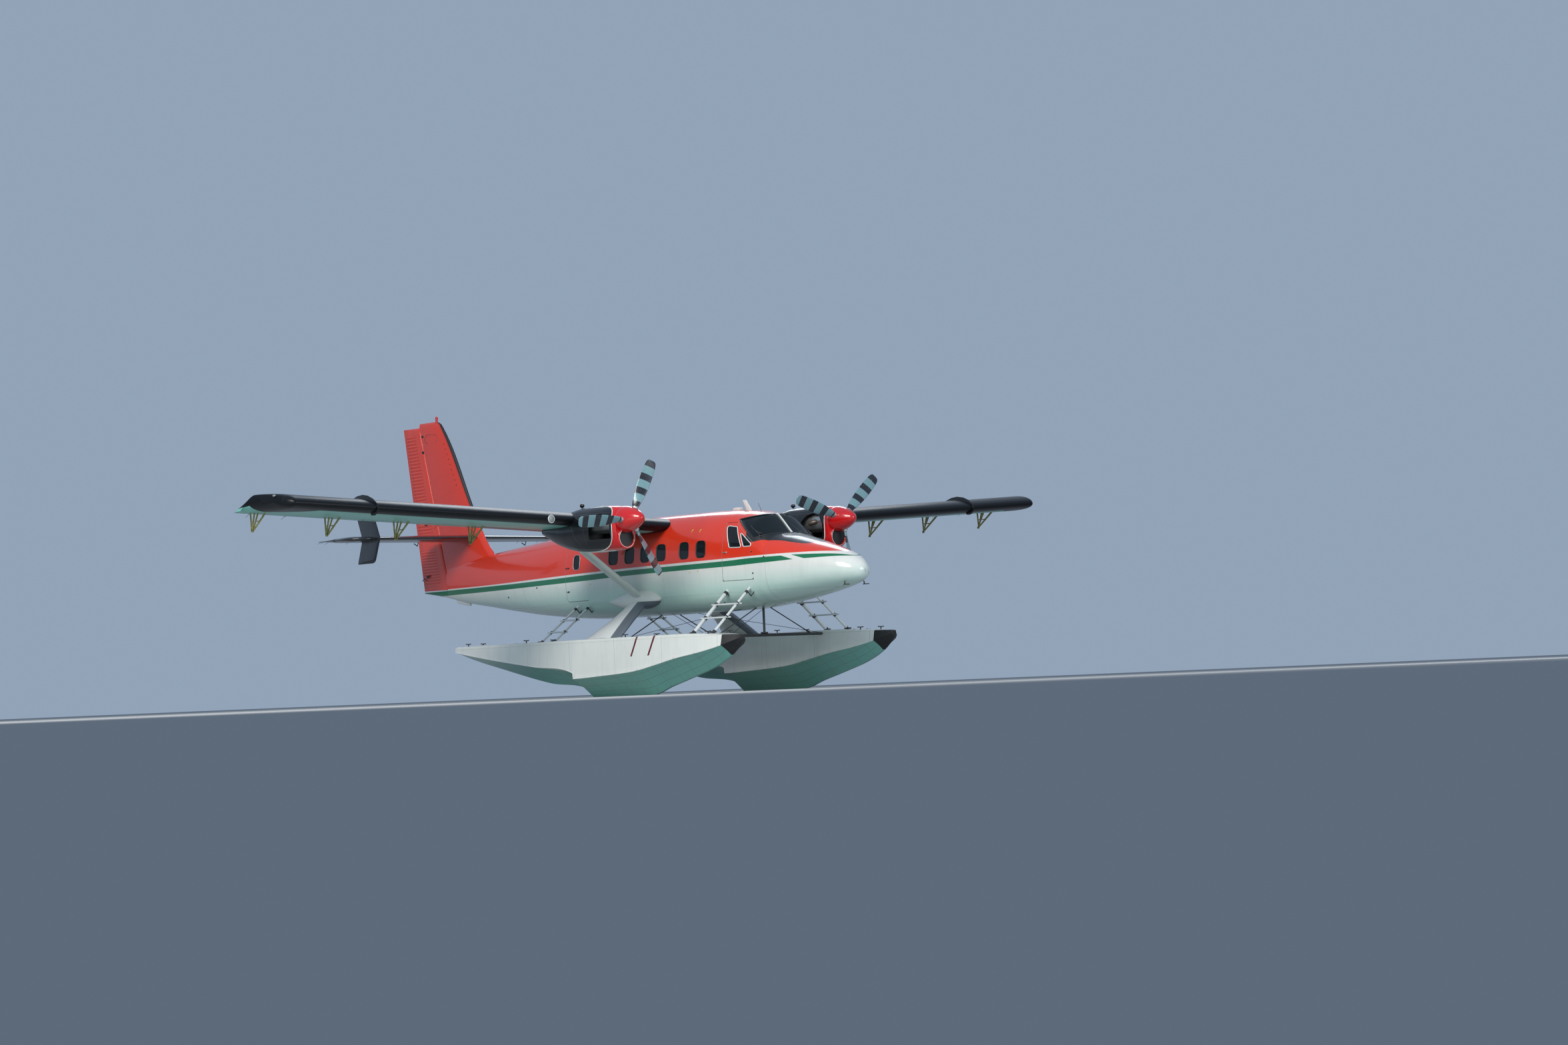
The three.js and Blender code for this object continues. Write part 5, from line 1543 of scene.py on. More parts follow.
def arm(corners, y, side, extra):
    """Two bars that meet at the pin and a tie half way down."""
    a, b, c = np.array(corners, float) + (0, y * DIHEDRAL + WING["z"])
    where = side * (y + extra)
    return [strap(a + (0, 30), c, 44, where), strap(b + (0, 30), c, 40, where),
            strap((a + c) / 2, (b + c) / 2, 24, where, 10)]


def flap_skin(name, side):
    inner = []
    for y in [930, *np.arange(940, 4350, 9.75), 4350]:
        high = 5.0 * float(flutes(y, 960, 4330, 78)) if 960 < y < 4330 else 0
        window = lambda f, high=high: high * np.clip((f - 0.74) * 60, 0, 1) * np.clip((0.985 - f) * 60, 0, 1)
        inner.append(foil_ring(side * y, FLAP_FRONT, 1.0, 12, ridge=window))
    outer = [foil_ring(side * y, FLAP_FRONT, FLAP_SPLIT, 10) for y in np.linspace(4300, 9640, 28)]
    parts = [skin("inner", inner, 40), skin("outer", outer, 40)]
    return group(f"flap_skin_{name}", parts, f"flap_{name}", FLAP_PAINT, "black_wing", f"flap_{name}")


def aileron_skin(name, side):
    rings = []
    share = np.linspace(AILERON_FRONT, 1, 12)
    top, low = foil(share, 1), foil(share, -1)
    radius = (top[0, 1] - low[0, 1]) / 2
    arc = np.linspace(-math.pi / 2, math.pi / 2, 11)
    nose = (top[0] + low[0]) / 2 + radius * columns(np.cos(arc), np.sin(arc))
    x, z = np.vstack([nose, top[1:], low[::-1][:-1]]).T
    for y in np.linspace(4365, 9640, 90):
        rings.append(row(columns(x, side * y, z + y * DIHEDRAL)))
    return finish(skin(f"aileron_skin_{name}", rings, 40), f"aileron_{name}", FLAP_PAINT, "black_wing",
                  f"aileron_{name}")


wing_skin()
for name, side in SIDES.items():
    flap_skin(name, side)
    aileron_skin(name, side)
    still, moving = [], []
    for y in ARM_YS:
        still += arm(FIXED_ARM, y, side, 0)
        moving += arm(MOVING_ARM, y, side, 24)
        pin_z = y * DIHEDRAL - 425
        still.append(rod([(-1640, side * (y - 14), pin_z), (-1640, side * (y + 34), pin_z)], 0.013, 12))
    fittings(f"fixed_arms_{name}", still, GOLD_METAL)
    group(f"moving_arms_{name}", moving, f"flap_{name}", GOLD_METAL, "strut_metal")
    wicks = []
    for y in (5000, 6800, 8600, 9400):
        x, z = foil([0.99], -1)[0]
        lift = y * DIHEDRAL
        path = [(x + 10, side * y, z + lift), (x - 60, side * (y + 6), z + lift - 10),
                (x - 150, side * (y + 12), z + lift - 60)]
        wicks.append(rod(path, WICK, 6))
    group(f"aileron_wicks_{name}", wicks, f"aileron_{name}", DARK_METAL, "strut_metal")
print("wing done")

# %% [markdown]
# A tall fence stands on each wing four fifths of the way out, and hooks round the leading edge. A round
# landing light sits in the leading edge just outboard of each engine.

# %% Fences and lights
FENCE = [(-900, 150), (-800, 205), (-640, 252), (-460, 268), (-280, 240), (-120, 175), (0, 85), (42, 10),
         (36, -60), (0, -115), (-70, -150), (-170, -150), (-230, -120), (-150, -95), (-60, -60), (-300, 0),
         (-900, 60)]
FENCE_Y, LAMP_Y = 7840, 3690
fences = []
for side in (LEFT, RIGHT):
    lift = FENCE_Y * DIHEDRAL + WING["z"]
    outline = rounded([(x, z + lift) for x, z in FENCE], 60, 4)
    plate = side_prism("fence", outline, side * FENCE_Y - 5, side * FENCE_Y + 5)
    fences.append(apply(plate, "BEVEL", width=0.003, segments=2, limit_method="ANGLE"))
fixed(soften(joined("wing_fences", fences), 40), GLOSS_BLACK, "black_wing")

for name, side in SIDES.items():
    place = row((2, side * LAMP_Y, LAMP_Y * DIHEDRAL + 14))
    lens = blob(f"landing_lens_{name}", place, (0.022, 0.072, 0.072))
    fixed(lens, LAMP_GLASS, "clear_glass")
    bowl = tube(f"landing_rim_{name}", hoop(place, 0.076, 28), 0.008, 8, closed=True)
    fixed(bowl, WHITE_METAL)
    tip_lamp = blob(f"tip_lamp_{name}", row((-420, side * 9870, 9900 * DIHEDRAL + 160)), (0.05, 0.016, 0.02))
    fixed(tip_lamp, LAMP_GLASS, "clear_glass")


# %% [markdown]
# ## Engines
# Each nacelle is a turboprop cowl under the wing's leading edge: a long soft box that narrows behind to a
# point. The nose bowl and spinner are red, the cowl is black, and a white line runs down between them
# and aft along the lower edge. A round chin intake and an arched exhaust recess break the surface.

# %% Nacelle sections
# x, top, bottom, half width, height of the widest line
NACELLE_STATIONS = [
    (1212, 366, -446, 256, 20), (1205, 374, -456, 264, 20), (1150, 388, -466, 286, 15),
    (1080, 397, -472, 306, 10), (800, 418, -480, 350, 0), (350, 425, -478, 372, -10),
    (0, 420, -462, 372, -20), (-350, 375, -415, 345, -20),
    (-700, 290, -325, 290, 0), (-1050, 190, -190, 215, 20), (-1330, 90, -60, 130, 20),
]
ENGINE_Y, SHAFT_Z, CHIN_Z = 2790, 124, -236
WIDE_ROUND, HIGH_ROUND = 2.3, 2.1
# height and X of the white line round the front of the cowl, in metres
TRIM = [(0.419, 0.56), (0.40, 0.80), (0.36, 0.99), (0.28, 1.09), (0.10, 1.125), (-0.10, 1.125),
        (-0.25, 1.09), (-0.36, 0.99), (-0.42, 0.84), (-0.452, 0.66), (-0.468, 0.40)]


def nacelle_ring(x, side, inset=0):
    top, bottom, half, wide = rows_at(NACELLE_STATIONS, x)
    ring = []
    for start in range(4):
        angle = np.linspace(start, start + 1, 90) * math.pi / 2
        reach = (top - wide if start < 2 else wide - bottom) - inset
        y = side * ENGINE_Y + (half - inset) * power(np.cos(angle), 2 / WIDE_ROUND)
        z = wide + reach * power(np.sin(angle), 2 / HIGH_ROUND)
        ring.append(even(columns(x, y, z), 19)[:-1])
    return row(np.vstack(ring))


def nacelle_side(x, z, side, way, out=0.0):
    """A point on the nacelle's surface. way is 1 for the outboard face and -1 for the inboard one."""
    top, bottom, half, wide = rows_at(NACELLE_STATIONS, x)
    reach = (top - wide if z > wide else wide - bottom) + out
    share = min(abs(z - wide) / reach, 1)
    return x, side * (ENGINE_Y + way * (half + out) * (1 - share**HIGH_ROUND) ** (1 / WIDE_ROUND)), z


def cowl_paint():
    f = Finish("cowl_paint", BLACK, 0.2, coat=0.3)
    grime(f, 0.4, (0.018, 0.020, 0.023))
    level = f.z - ABOVE
    edge = curve_of(f, f.z, sorted(TRIM), ABOVE, AHEAD)
    red = (f.x - edge).above(0, 0.003) * level.between(-0.47, 0.43)
    bowl = f.x.above(0.95 + AHEAD, 0.003) * (level.above(0.40).either(level.below(-0.43)))
    slant = (f.x + f.z * 0.45).near(-0.05 + AHEAD + 0.45 * ABOVE, 0.006)
    upper = level.near(0.27, 0.004) * f.x.below(1.05 + AHEAD)
    panel = seams(f, [f.x.near(0.33 + AHEAD, 0.004), slant, upper, f.x.near(-0.62 + AHEAD, 0.004)],
                  (0.07, 0.075, 0.08), 0.8)
    f.paint(red.either(bowl), RED)
    belly = level.below(-0.462, 0.004) * f.x.below(0.95 + AHEAD, 0.01)
    f.paint(belly, WHITE)
    return f.done(f.relief(panel, 0.0012, 0.6))


COWL_PAINT = cowl_paint()
ARCH = [(440, -240), (1070, -240), (1070, 40), (985, 195), (790, 272), (590, 220), (460, 70)]
# x and radius along the intake duct, in at the lip and back along its outside
DUCT = [(1210, 190), (1150, 182), (900, 150), (880, 120), (870, 4), (866, 4), (890, 140), (1150, 188),
        (1208, 196)]
EXHAUST = [(830, 150, 90), (790, 225, 88), (730, 268, 72), (660, 285, 55)]


def nacelle_skin(name, side):
    xs = [1212, 1209, 1205, *np.linspace(1190, -1330, 64)]
    hull = skin(f"cowl_{name}", [nacelle_ring(x, side) for x in xs])
    cut(hull, skin("bay", [nacelle_ring(x, side, 30) for x in np.linspace(1170, 70, 26)]))
    for z, radius, sides in ((SHAFT_Z, 0.100, 40), (CHIN_Z, [0.176, 0.196], 48)):
        path = row([(1100, side * ENGINE_Y, z), (1500, side * ENGINE_Y, z)])
        cut(hull, tube("front_hole", path, radius, sides))
    outline = rounded(ARCH, [40, 40, 90, 110, 130, 110, 90], 6)
    arches = [side_prism("arch", outline, side * (ENGINE_Y + near), side * (ENGINE_Y + far))
              for near, far in ((-600, -240), (240, 600))]
    cut(hull, joined("arches", arches))
    hull.data.materials.append(COWL_PAINT)
    hull.data.materials.append(DARK_TRIM)
    for face in hull.data.polygons:
        x, y, z = (np.array(face.center) - (AHEAD, 0, ABOVE)) * 1000
        top, bottom, half, wide = rows_at(NACELLE_STATIONS, x)
        reach = top - wide if z > wide else wide - bottom
        out = (abs(abs(y) - ENGINE_Y) / half) ** WIDE_ROUND + (abs(z - wide) / reach) ** HIGH_ROUND
        if out < 0.9 and x < 1195:
            face.material_index = 1
    fixed(soften(hull, 28), None, "black_cowl", f"engine_cowl_{name}")

    centre = row((1218, side * ENGINE_Y, CHIN_Z))
    lip = tube(f"chin_lip_{name}", hoop(centre, 0.196, 48), 0.024, 14, closed=True)
    fixed(lip, GLOSS_RED, "black_cowl")
    a = turns(40)
    rings = [row(columns(x, side * ENGINE_Y + r * np.cos(a), CHIN_Z + r * np.sin(a))) for x, r in DUCT]
    fixed(skin(f"duct_{name}", rings, 40), DARK_TRIM, "black_cowl")
    lines = [tube("inner_lip", hoop(centre, 0.190, 48, 0.021), 0.005, 8, closed=True)]
    for way in (1, -1):
        curve = [nacelle_side(x * 1000, z * 1000, side, way, 1.5) for z, x in TRIM]
        low = [nacelle_side(x, -470 + max(500 - x, 0) ** 2 * 7e-5, side, way, 1.5)
               for x in (300, 150, 0, -150, -300)]
        lines.append(tube("line", rows_smooth(row(curve + low), 90), 0.010, 8))
    fittings(f"cowl_trim_{name}", lines, GLOSS_WHITE, "orange_skin")
    stubs = []
    for way in (1, -1):
        path = row([(x, side * (ENGINE_Y + way * y), z) for x, y, z in EXHAUST])
        stub = tube("stub", rows_smooth(path, 14), 0.05, 22, ends=False)
        stubs.append(apply(stub, "SOLIDIFY", thickness=0.004))
    fittings(f"exhausts_{name}", stubs, EXHAUST_METAL, "engine_metal")
    top = row((-150, side * ENGINE_Y, 425))
    ball = [tube("stalk", [top, top + (0, 0, 0.03)], 0.02, 12),
            blob("ball", top + (0, 0, 0.05), (0.055, 0.045, 0.042))]
    fittings(f"cowl_ball_{name}", ball, GLOSS_BLACK, "black_cowl")


def rows_smooth(points, count):
    """A smooth path through a few points: a Catmull-Rom curve, evenly spaced."""
    p = np.vstack([points[0] * 2 - points[1], points, points[-1] * 2 - points[-2]])
    path = []
    for a, b, c, d in zip(p, p[1:], p[2:], p[3:]):
        for t in np.linspace(0, 1, 12, endpoint=False):
            bend = (2 * a - 5 * b + 4 * c - d) * t**2 + (3 * b - 3 * c + d - a) * t**3
            path.append(0.5 * (2 * b + (c - a) * t + bend))
    return even([*path, p[-2]], count)


for name, side in SIDES.items():
    nacelle_skin(name, side)
print("nacelles done")

# %% [markdown]
# ### Propellers
# Three broad twisted blades carry pale bands on black, to be seen when they turn. The bands start at a
# different radius on each blade. The paint reads its radius from the distance to the shaft, so it follows
# the blade exactly.

# %% Propellers
PROPS = {"left": (LEFT, 47.8), "right": (RIGHT, 27.5)}
HUB_X = 1370
# radius, chord, thickness, pitch in degrees
BLADE = [(110, 84, 84, 60), (200, 96, 76, 54), (290, 140, 54, 46), (400, 182, 44, 40), (560, 220, 34, 33),
         (800, 250, 26, 26), (1000, 248, 20, 21), (1150, 234, 15, 17), (1230, 208, 12, 15),
         (1270, 172, 10, 14), (1288, 130, 8, 12), (1294, 80, 6, 12)]
BLADE_RADII = [110, 150, 200, 245, 290, 340, *np.linspace(400, 1150, 22), 1190, 1230, 1255, 1270, 1282, 1290,
               1294]
SPINNER = [(1216, 262), (1222, 264), (1260, 263), (1320, 254), (1380, 240), (1450, 219), (1520, 193),
           (1590, 160), (1650, 126), (1700, 90), (1730, 58), (1744, 32), (1750, 8)]


def blade_paint(index, first):
    f = Finish(f"blade_paint_{index}", (0.012, 0.014, 0.022), 0.3, coat=0.5)
    across = f.y.math("ABSOLUTE") - ENGINE_Y / 1000
    height = f.z - (ABOVE + SHAFT_Z / 1000)
    radius = (across * across + height * height).math("SQRT")
    fold = ((radius - first) / 0.30).math("FRACT") * 0.30
    band = fold.below(0.165, 0.003) * fold.above(0.003, 0.003) * radius.above(0.28)
    f.paint(band, PALE_BAND)
    root = radius.below(0.27, 0.006)
    f.paint(root, (0.5, 0.52, 0.54)).rough(root, 0.35)
    chips = f.noise(26, 4, low=0.62, high=0.7)
    f.paint(chips * 0.35, (0.14, 0.16, 0.17))
    return f.done(f.relief(chips, 0.0005, 0.3))


BLADE_PAINTS = [blade_paint(1, 0.385), blade_paint(2, 0.50), blade_paint(3, 0.30)]


def blade(turn, side, paint):
    """A smooth blade: sections with a thick front edge and a thin back one, turned to their pitch."""
    rings = []
    for radius in BLADE_RADII:
        chord, thick, pitch = rows_at(BLADE, radius)
        a = turns(24)
        u = chord / 2 * np.cos(a)
        v = thick / 2 * np.sin(a) * (1 + 0.25 * np.cos(a))
        c, s = math.cos(math.radians(pitch)), math.sin(math.radians(pitch))
        x, y = u * s - v * c, u * c + v * s
        t = math.radians(-turn)
        across = side * ENGINE_Y + y * math.cos(t) - radius * math.sin(t)
        rings.append(row(columns(HUB_X + x, across, SHAFT_Z + y * math.sin(t) + radius * math.cos(t))))
    thing = skin("blade", rings, 50)
    thing.data.materials.append(paint)
    return thing


def spinner(side):
    rings = []
    a = turns(48)
    for x in [1216, 1222, *np.linspace(1240, 1700, 20), 1715, 1728, 1738, 1745, 1749]:
        r = float(rows_at(SPINNER, x)[0])
        rings.append(row(columns(x, side * ENGINE_Y + r * np.cos(a), SHAFT_Z + r * np.sin(a))))
    cone = skin("spinner", rings, 40)
    cone.data.materials.append(GLOSS_RED)
    return cone


for name, (side, phase) in PROPS.items():
    parts = [spinner(side)]
    for index in range(3):
        turn = phase + 120 * index
        parts.append(blade(turn, side, BLADE_PAINTS[index]))
        t = math.radians(-turn)
        foot = row([(HUB_X, side * ENGINE_Y - r * math.sin(t), SHAFT_Z + r * math.cos(t))
                    for r in (228, 262)])
        cuff = tube("cuff", foot, 0.056, 24)
        cuff.data.materials.append(SATIN_METAL)
        parts.append(cuff)
    shaft = rod([(x, side * ENGINE_Y, SHAFT_Z) for x in (1135, 1220)], 0.06, 20)
    shaft.data.materials.append(SATIN_METAL)
    group(f"propeller_{name}_blades", parts + [shaft], f"propeller_{name}", None, "propeller_metal",
          f"propeller_{name}")
print("propellers done")

# %% [markdown]
# ## Floats
# Each float is a long hull with a flat keel strip, a V bottom with hollow flanks, hard chines and nearly
# upright sides. Behind the step the bottom rises to the stern. Plate seams and frame lines show all over.

# %% Float hulls
# x, keel height, chine height, half beam, deck height, half deck
FLOAT_STATIONS = [
    (3640, -2345, -2300, 60, -2245, 55), (3560, -2440, -2345, 150, -2238, 130),
    (3300, -2640, -2440, 300, -2222, 262), (2830, -2840, -2545, 420, -2190, 370),
    (2200, -3010, -2640, 500, -2170, 448), (1500, -3180, -2770, 540, -2170, 488),
    (900, -3330, -2860, 550, -2170, 500), (-150, -3330, -2920, 550, -2170, 502),
    (-1000, -3330, -2950, 545, -2170, 500), (-1012, -3215, -2840, 540, -2170, 498),
    (-2400, -3010, -2670, 480, -2170, 450), (-3900, -2700, -2490, 370, -2170, 345),
    (-5300, -2370, -2305, 205, -2170, 190), (-5480, -2310, -2280, 160, -2180, 145),
]
FLOAT_Y, DECK_Z = 1990, -2170


def float_half(x):
    """Half the section, keel to deck middle, with even points on every panel."""
    keel, chine, half, deck, deck_half = rows_at(FLOAT_STATIONS, x)
    flat = min(30, half * 0.5)
    points = []
    for t in np.linspace(0, 1, 13)[:-1]:
        hollow = 0.06 * math.sin(t * math.pi) * (chine - keel)
        points.append((flat + (half - flat) * t, keel + (chine - keel) * t + hollow))
    lip = min(16, (deck - chine) * 0.2)
    points += [(half, chine), (half, chine + lip * 0.5), (half - 6, chine + lip * 1.3)]
    side_low, side_top = chine + lip * 1.3, deck - min(26, (deck - chine) * 0.3)
    for t in np.linspace(0, 1, 8)[1:]:
        points.append((half - 6 + (deck_half - half + 6) * t, side_low + (side_top - side_low) * t))
    corner = deck_half * 0.06 + 6
    points += [(deck_half - corner * 0.25, deck - 9), (deck_half - corner, deck - 1)]
    for t in np.linspace(0, 1, 6)[1:-1]:
        points.append(((deck_half - corner) * (1 - t), deck))
    return points


def float_ring(x, side):
    half = float_half(x)
    left = [(-y, z) for y, z in reversed(half)]
    return row([(x, side * FLOAT_Y + y, z) for y, z in half + left])


def float_paint():
    f = Finish("float_paint", (0.78, 0.78, 0.74), 0.3, coat=0.4)
    grime(f, 0.24, (0.34, 0.33, 0.28))
    level = f.z - ABOVE
    chine = curve_of(f, f.x, sorted((a[0] / 1000, a[2] / 1000) for a in FLOAT_STATIONS))
    under = (f.z - chine).below(-0.004, 0.004)
    # The bottom below the chine is pale, with a painted reflection of the water in its colour.
    f.paint(under, PALE_WITH_WATER_REFLECTION)
    stain = f.noise(4.5, 5, stretch=(1.2, 1.2, 0.35), low=0.5, high=0.8)
    f.paint(stain * under * 0.4, (0.22, 0.34, 0.28))
    mud = f.noise(9, 4, low=0.55, high=0.8) * (f.z - chine).near(0.0, 0.05, 0.05)
    f.paint(mud * 0.5, (0.2, 0.19, 0.14))
    offset = f.y.math("ABSOLUTE") - FLOAT_Y / 1000
    frames = f.x.every(0.40, 0.006) * under
    long_lines = offset.math("ABSOLUTE").every(0.155, 0.006) * under
    plates = (f.x + f.z * 0.10).every(1.46, 0.006) * (1 - under)
    small = (f.x - 0.35).every(0.365, 0.0025) * (1 - under) * 0.5
    belt = level.near(-2.235, 0.003) * (1 - under)
    line = seams(f, [frames, long_lines, plates, small, belt], (0.10, 0.13, 0.12), 0.55)
    for top in (1.054, 1.582):
        slant = (f.x - (level + 2.15) * 0.46).near(AHEAD + top, 0.055)
        f.paint(slant * level.between(-2.56, -2.172) * offset.above(0.42), MAROON)
    rivets = f.x.every(0.045, 0.010, 0.003) * (f.z - chine).near(0.035, 0.008, 0.003)
    return f.done(f.relief(rivets * 0.6 - line, 0.0018, 0.7))


FLOAT_PAINT = float_paint()


def float_skin(name, side):
    xs = [3329.7, *np.linspace(3300, -990, 90), -1000, -1012, *np.linspace(-1030, -5460, 84), -5480]
    hull = skin(f"float_hull_{name}", [float_ring(x, side) for x in xs], 22)
    fixed(hull, FLOAT_PAINT, "float_metal", f"float_{name}")
    nose = [float_ring(x, side) for x in [3329, 3350, *np.linspace(3380, 3600, 12), 3618, 3630, 3637]]
    middle = nose[-1].mean(axis=0)
    nose.append(middle + (nose[-1] - middle) * 0.55 + (0.003, 0, 0))
    pad = skin(f"bow_pad_{name}", nose, 35)
    pad = apply(pad, "BEVEL", width=0.012, segments=2, limit_method="ANGLE", angle_limit=math.radians(40))
    fixed(soften(pad, 50), RUBBER, "black_rubber", f"bow_bumper_{name}")
    ends = row([(3500, side * FLOAT_Y - 22, -2395), (3560, side * FLOAT_Y + 22, -2330)])
    fixed(brick(f"bow_eye_{name}", *ends, 0.008), WHITE_METAL)

    deck = []
    for x in (2700, 1180, 150, -1900, -3300, -4500):
        half = float(rows_at(FLOAT_STATIONS, x)[4])
        for off in (0.45, -0.45):
            spot = row((x, side * FLOAT_Y + half * off, -2168 if x < 2300 else -2184))
            deck.append(tube("cap", [spot - (0, 0, 0.004), spot + (0, 0, 0.010)], 0.045, 20))
    fittings(f"deck_caps_{name}", deck, SATIN_METAL)
    cleats = []
    for x in (2960, 560, -2750, -4950):
        deck_z = float(rows_at(FLOAT_STATIONS, x)[3])
        for out in (0.8, -0.8):
            half = float(rows_at(FLOAT_STATIONS, x)[4]) * out
            foot = row((x, side * FLOAT_Y + half, deck_z))
            top = foot + (0, 0, 0.045)
            horn = [foot + (-0.085, 0, 0.05), top, foot + (0.085, 0, 0.05)]
            cleats += [tube("post", [foot, top], 0.012, 8), tube("horn", horn, 0.010, 8)]
    fittings(f"cleats_{name}", cleats)
    low, high = DECK_Z - 1, DECK_Z + 4
    ends = row([(-3200, side * FLOAT_Y - 130, low), (2150, side * FLOAT_Y + 130, high)])
    strip = brick(f"deck_strip_{name}", *ends, 0)
    fixed(strip, trim_paint("deck_grip", (0.20, 0.21, 0.21), 0.9, 120.0), "black_rubber")


for name, side in SIDES.items():
    float_skin(name, side)
print("floats done")

# %% [markdown]
# ### Legs, struts and ladders
# A broad faired leg stands on each float under the wing strut. Its leading edge is a grey-blue rubber
# strip, and a long white fairing covers its root. Ladders of two tubes with perforated steps lead up to
# the crew door and the rear door, and thin bars and wires tie the two floats together.

# %% Legs and struts
def leg_paint():
    f = Finish("leg_paint", (0.76, 0.76, 0.73), 0.3, coat=0.4)
    grime(f, 0.2, (0.36, 0.36, 0.32))
    t = (-1.38 + ABOVE - f.z) / 0.85
    lead = (f.x - t * 0.28).above(AHEAD - 0.58 - 0.17, 0.004) * (f.z - ABOVE).below(-1.44, 0.004)
    f.paint(lead, (0.13, 0.155, 0.185)).rough(lead, 0.45)
    foot = (f.z - ABOVE).near(-2.13, 0.004)
    return f.done(f.relief(foot * -1, 0.001, 0.5))


LEG_PAINT = leg_paint()
FAIRING = [(-180, 12), (-230, 55), (-330, 120), (-600, 188), (-1050, 190), (-1500, 112), (-1720, 50),
           (-1850, 12)]


def leg_skin(name, side):
    rings = []
    for t in np.linspace(-0.05, 1.0, 30):
        chord = 540 + 660 * max(t, 0) ** 1.9
        front = -585 + 285 * t
        y, z = 780 + 1120 * t, -1380 - 850 * t + 55 * (t - t * t)
        f = np.linspace(0, 1, 22) ** 1.6
        half = np.sqrt(np.clip(f * (1 - f), 0, 1)) * 2 * (95 + 20 * t) * (1 - 0.35 * f)
        x = front - chord * f
        wide, high = 0.6 * half, 0.8 * half
        rings.append(there_and_back((x, side * (y + wide), z + high), (x, side * (y - wide), z - high)))
    leg = skin("leg", rings, 40)
    pods = []
    for x in np.linspace(-180, -1850, 36):
        r = float(rows_at(FAIRING, x)[0])
        a = turns(32)
        pods.append(row(columns(x, side * (830 + r * np.cos(a)), -1400 + r * np.sin(a))))
    both = joined(f"leg_skin_{name}", [leg, skin("pod", pods, 40)])
    ends = row([(-3000, side * FLOAT_Y - 1500, -2600), (1000, side * FLOAT_Y + 600, DECK_Z - 1)])
    cut(both, brick("below_deck", *ends, 0))
    fixed(soften(both, 35), LEG_PAINT, "float_metal", f"float_leg_{name}")
    outline = rounded(box_outline(-1540, -250, DECK_Z - 1, DECK_Z + 7), 3)
    plate = side_prism(f"leg_foot_{name}", outline, side * 1760, side * 2110)
    fixed(plate, SATIN_METAL)


def strut_skin(name, side):
    foot, top = np.array((-760, side * 905, -1360.0)), np.array((-555, side * 2735, -215.0))
    chord = 320
    f = np.linspace(0, 1, 20) ** 1.7
    across = np.cross((top - foot) / np.linalg.norm(top - foot), (1, 0, 0))
    across = across / np.linalg.norm(across)
    off = (thickness(f, 0.33) * chord)[:, None] * across
    rings = []
    for t in np.linspace(0, 1, 24):
        x, y, z = foot + (top - foot) * t
        line = columns(x + 120 - chord * f, y, z)
        rings.append(row(np.vstack([line + off, (line - off)[::-1]])))
    fixed(skin(f"strut_skin_{name}", rings, 40), PALE_STRUT, "strut_metal", f"wing_strut_{name}")


def slats(centre, length, width, pitch=0.030):
    """A perforated step: two edge bars, cross slats with gaps between them and small teeth on top."""
    cx, cy, cz = centre
    parts = [brick("edge", (cx - length / 2, cy + s * width / 2 - 0.005, cz - 0.013),
                   (cx + length / 2, cy + s * width / 2 + 0.005, cz + 0.013), 0.002) for s in (1, -1)]
    count = int(length / pitch)
    for i in range(count):
        x = cx - length / 2 + (i + 0.5) * length / count
        low, high = cy - width / 2, cy + width / 2
        parts.append(brick("slat", (x - 0.007, low, cz - 0.011), (x + 0.007, high, cz - 0.005), 0))
        if i % 2 == 0:
            for y0, y1 in ((low - 0.004, low + 0.006), (high - 0.006, high + 0.004)):
                parts.append(brick("tooth", (x - 0.005, y0, cz + 0.010), (x + 0.005, y1, cz + 0.022), 0))
    return parts


LADDERS = {
    "front": {"rails": [(1900, 1870), (2520, 2500)], "foot": (1770, -2172), "top": (690, -1240),
              "radius": (0.037, 0.027), "steps": (0.32, 0.6), "over": 85, "width": 0.105},
    "rear": {"rails": [(-3010, -2990), (-2560, -2600)], "foot": (1760, -2172), "top": (670, -1370),
             "radius": (0.021, 0.021), "steps": (0.25, 0.55), "over": 60, "width": 0.09},
}


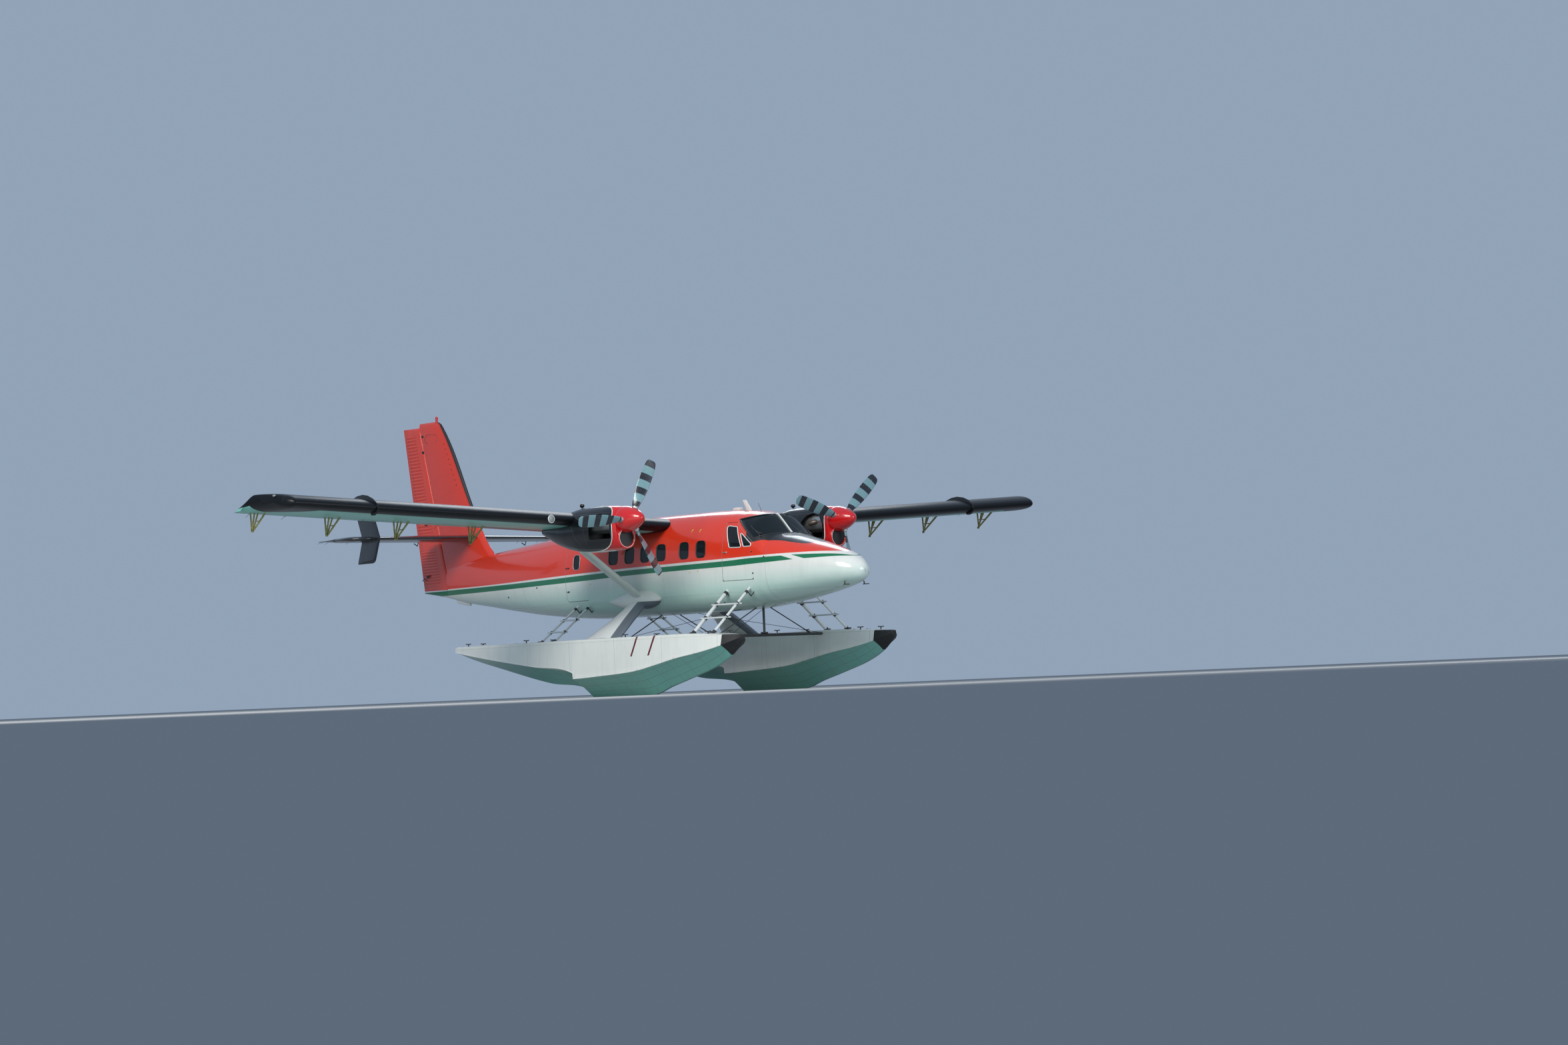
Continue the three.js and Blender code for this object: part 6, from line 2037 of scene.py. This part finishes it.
def ladder(tag, name, side):
    data = LADDERS[tag]
    (foot_y, foot_z), (top_y, top_z) = data["foot"], data["top"]
    light, dark = [], []
    for (foot_x, top_x), radius in zip(data["rails"], data["radius"]):
        path = row([(foot_x, side * foot_y, foot_z), (top_x, side * top_y, top_z)])
        light.append(tube("rail", path, radius, 18))
        for t in (*data["steps"], 0.02, 0.84):
            spot = path[0] + (path[1] - path[0]) * t
            ahead = (path[1] - path[0]) * 0.022
            dark.append(tube("sleeve", [spot - ahead, spot + ahead], radius + 0.006, 18))
        tip = path[0] + (path[1] - path[0]) * 0.86
        elbow = tip + (0.0, -side * 0.10, -0.10)
        dark.append(tube("brace", [tip, elbow], 0.011, 8))
        dark.append(tube("brace", [elbow, tip + (0.10, -side * 0.13, 0.02)], 0.009, 8))
        dark.append(brick("shoe", path[0] - (0.06, 0.045, 0.0), path[0] + (0.06, 0.045, 0.03), 0.006))
    for t in data["steps"]:
        y, z = foot_y + (top_y - foot_y) * t, foot_z + (top_z - foot_z) * t
        xs = [foot + (top - foot) * t for foot, top in data["rails"]]
        length = (max(xs) - min(xs) + 2 * data["over"]) / 1000
        centre = row(((max(xs) + min(xs)) / 2, side * y, z))
        light += slats(centre, length, data["width"])
    fittings(f"{tag}_ladder_rails_{name}", light, WHITE_METAL, "strut_metal", f"{tag}_ladder_{name}")
    fittings(f"{tag}_ladder_joints_{name}", dark)


for name, side in SIDES.items():
    leg_skin(name, side)
    strut_skin(name, side)
    ladder("front", name, side)
    ladder("rear", name, side)


def spreader(tag, x, post):
    """A flat streamlined bar from float to float, its chord along X, with two braces to the belly."""
    a, z = turns(20), -2235
    rings = [row(columns(x + 60 * np.cos(a), y, z + 30 * np.sin(a))) for y in np.linspace(-1500, 1500, 12)]
    parts = [skin("bar", rings, 40)]
    if post:
        parts.append(rod([(x, 0, z), (x, 0, -1660)], 0.024, 16))
        parts.append(brick("foot", row((x - 50, -60, -2205)), row((x + 50, 60, -2175)), 0.008))
    for side in (LEFT, RIGHT):
        parts.append(rod([(x, side * 1250, z), (x, side * 90, -1640)], 0.011, 12))
        parts.append(rod([(x, side * 1250, z), (x, side * 1120, -2168)], 0.018, 12))
    fittings(f"{tag}_spreader_bar", parts, DARK_METAL, "strut_metal", f"{tag}_spreader")


spreader("front", 2000, True)
spreader("rear", -900, False)
for name, side in SIDES.items():
    wires = [rod([(2000, side * 1480, -2215), (-780, side * 180, -1640)], 0.005, 6),
             rod([(-900, side * 1480, -2215), (1900, side * 180, -1655)], 0.005, 6)]
    fittings(f"bracing_wires_{name}", wires)
print("legs, struts, ladders done")
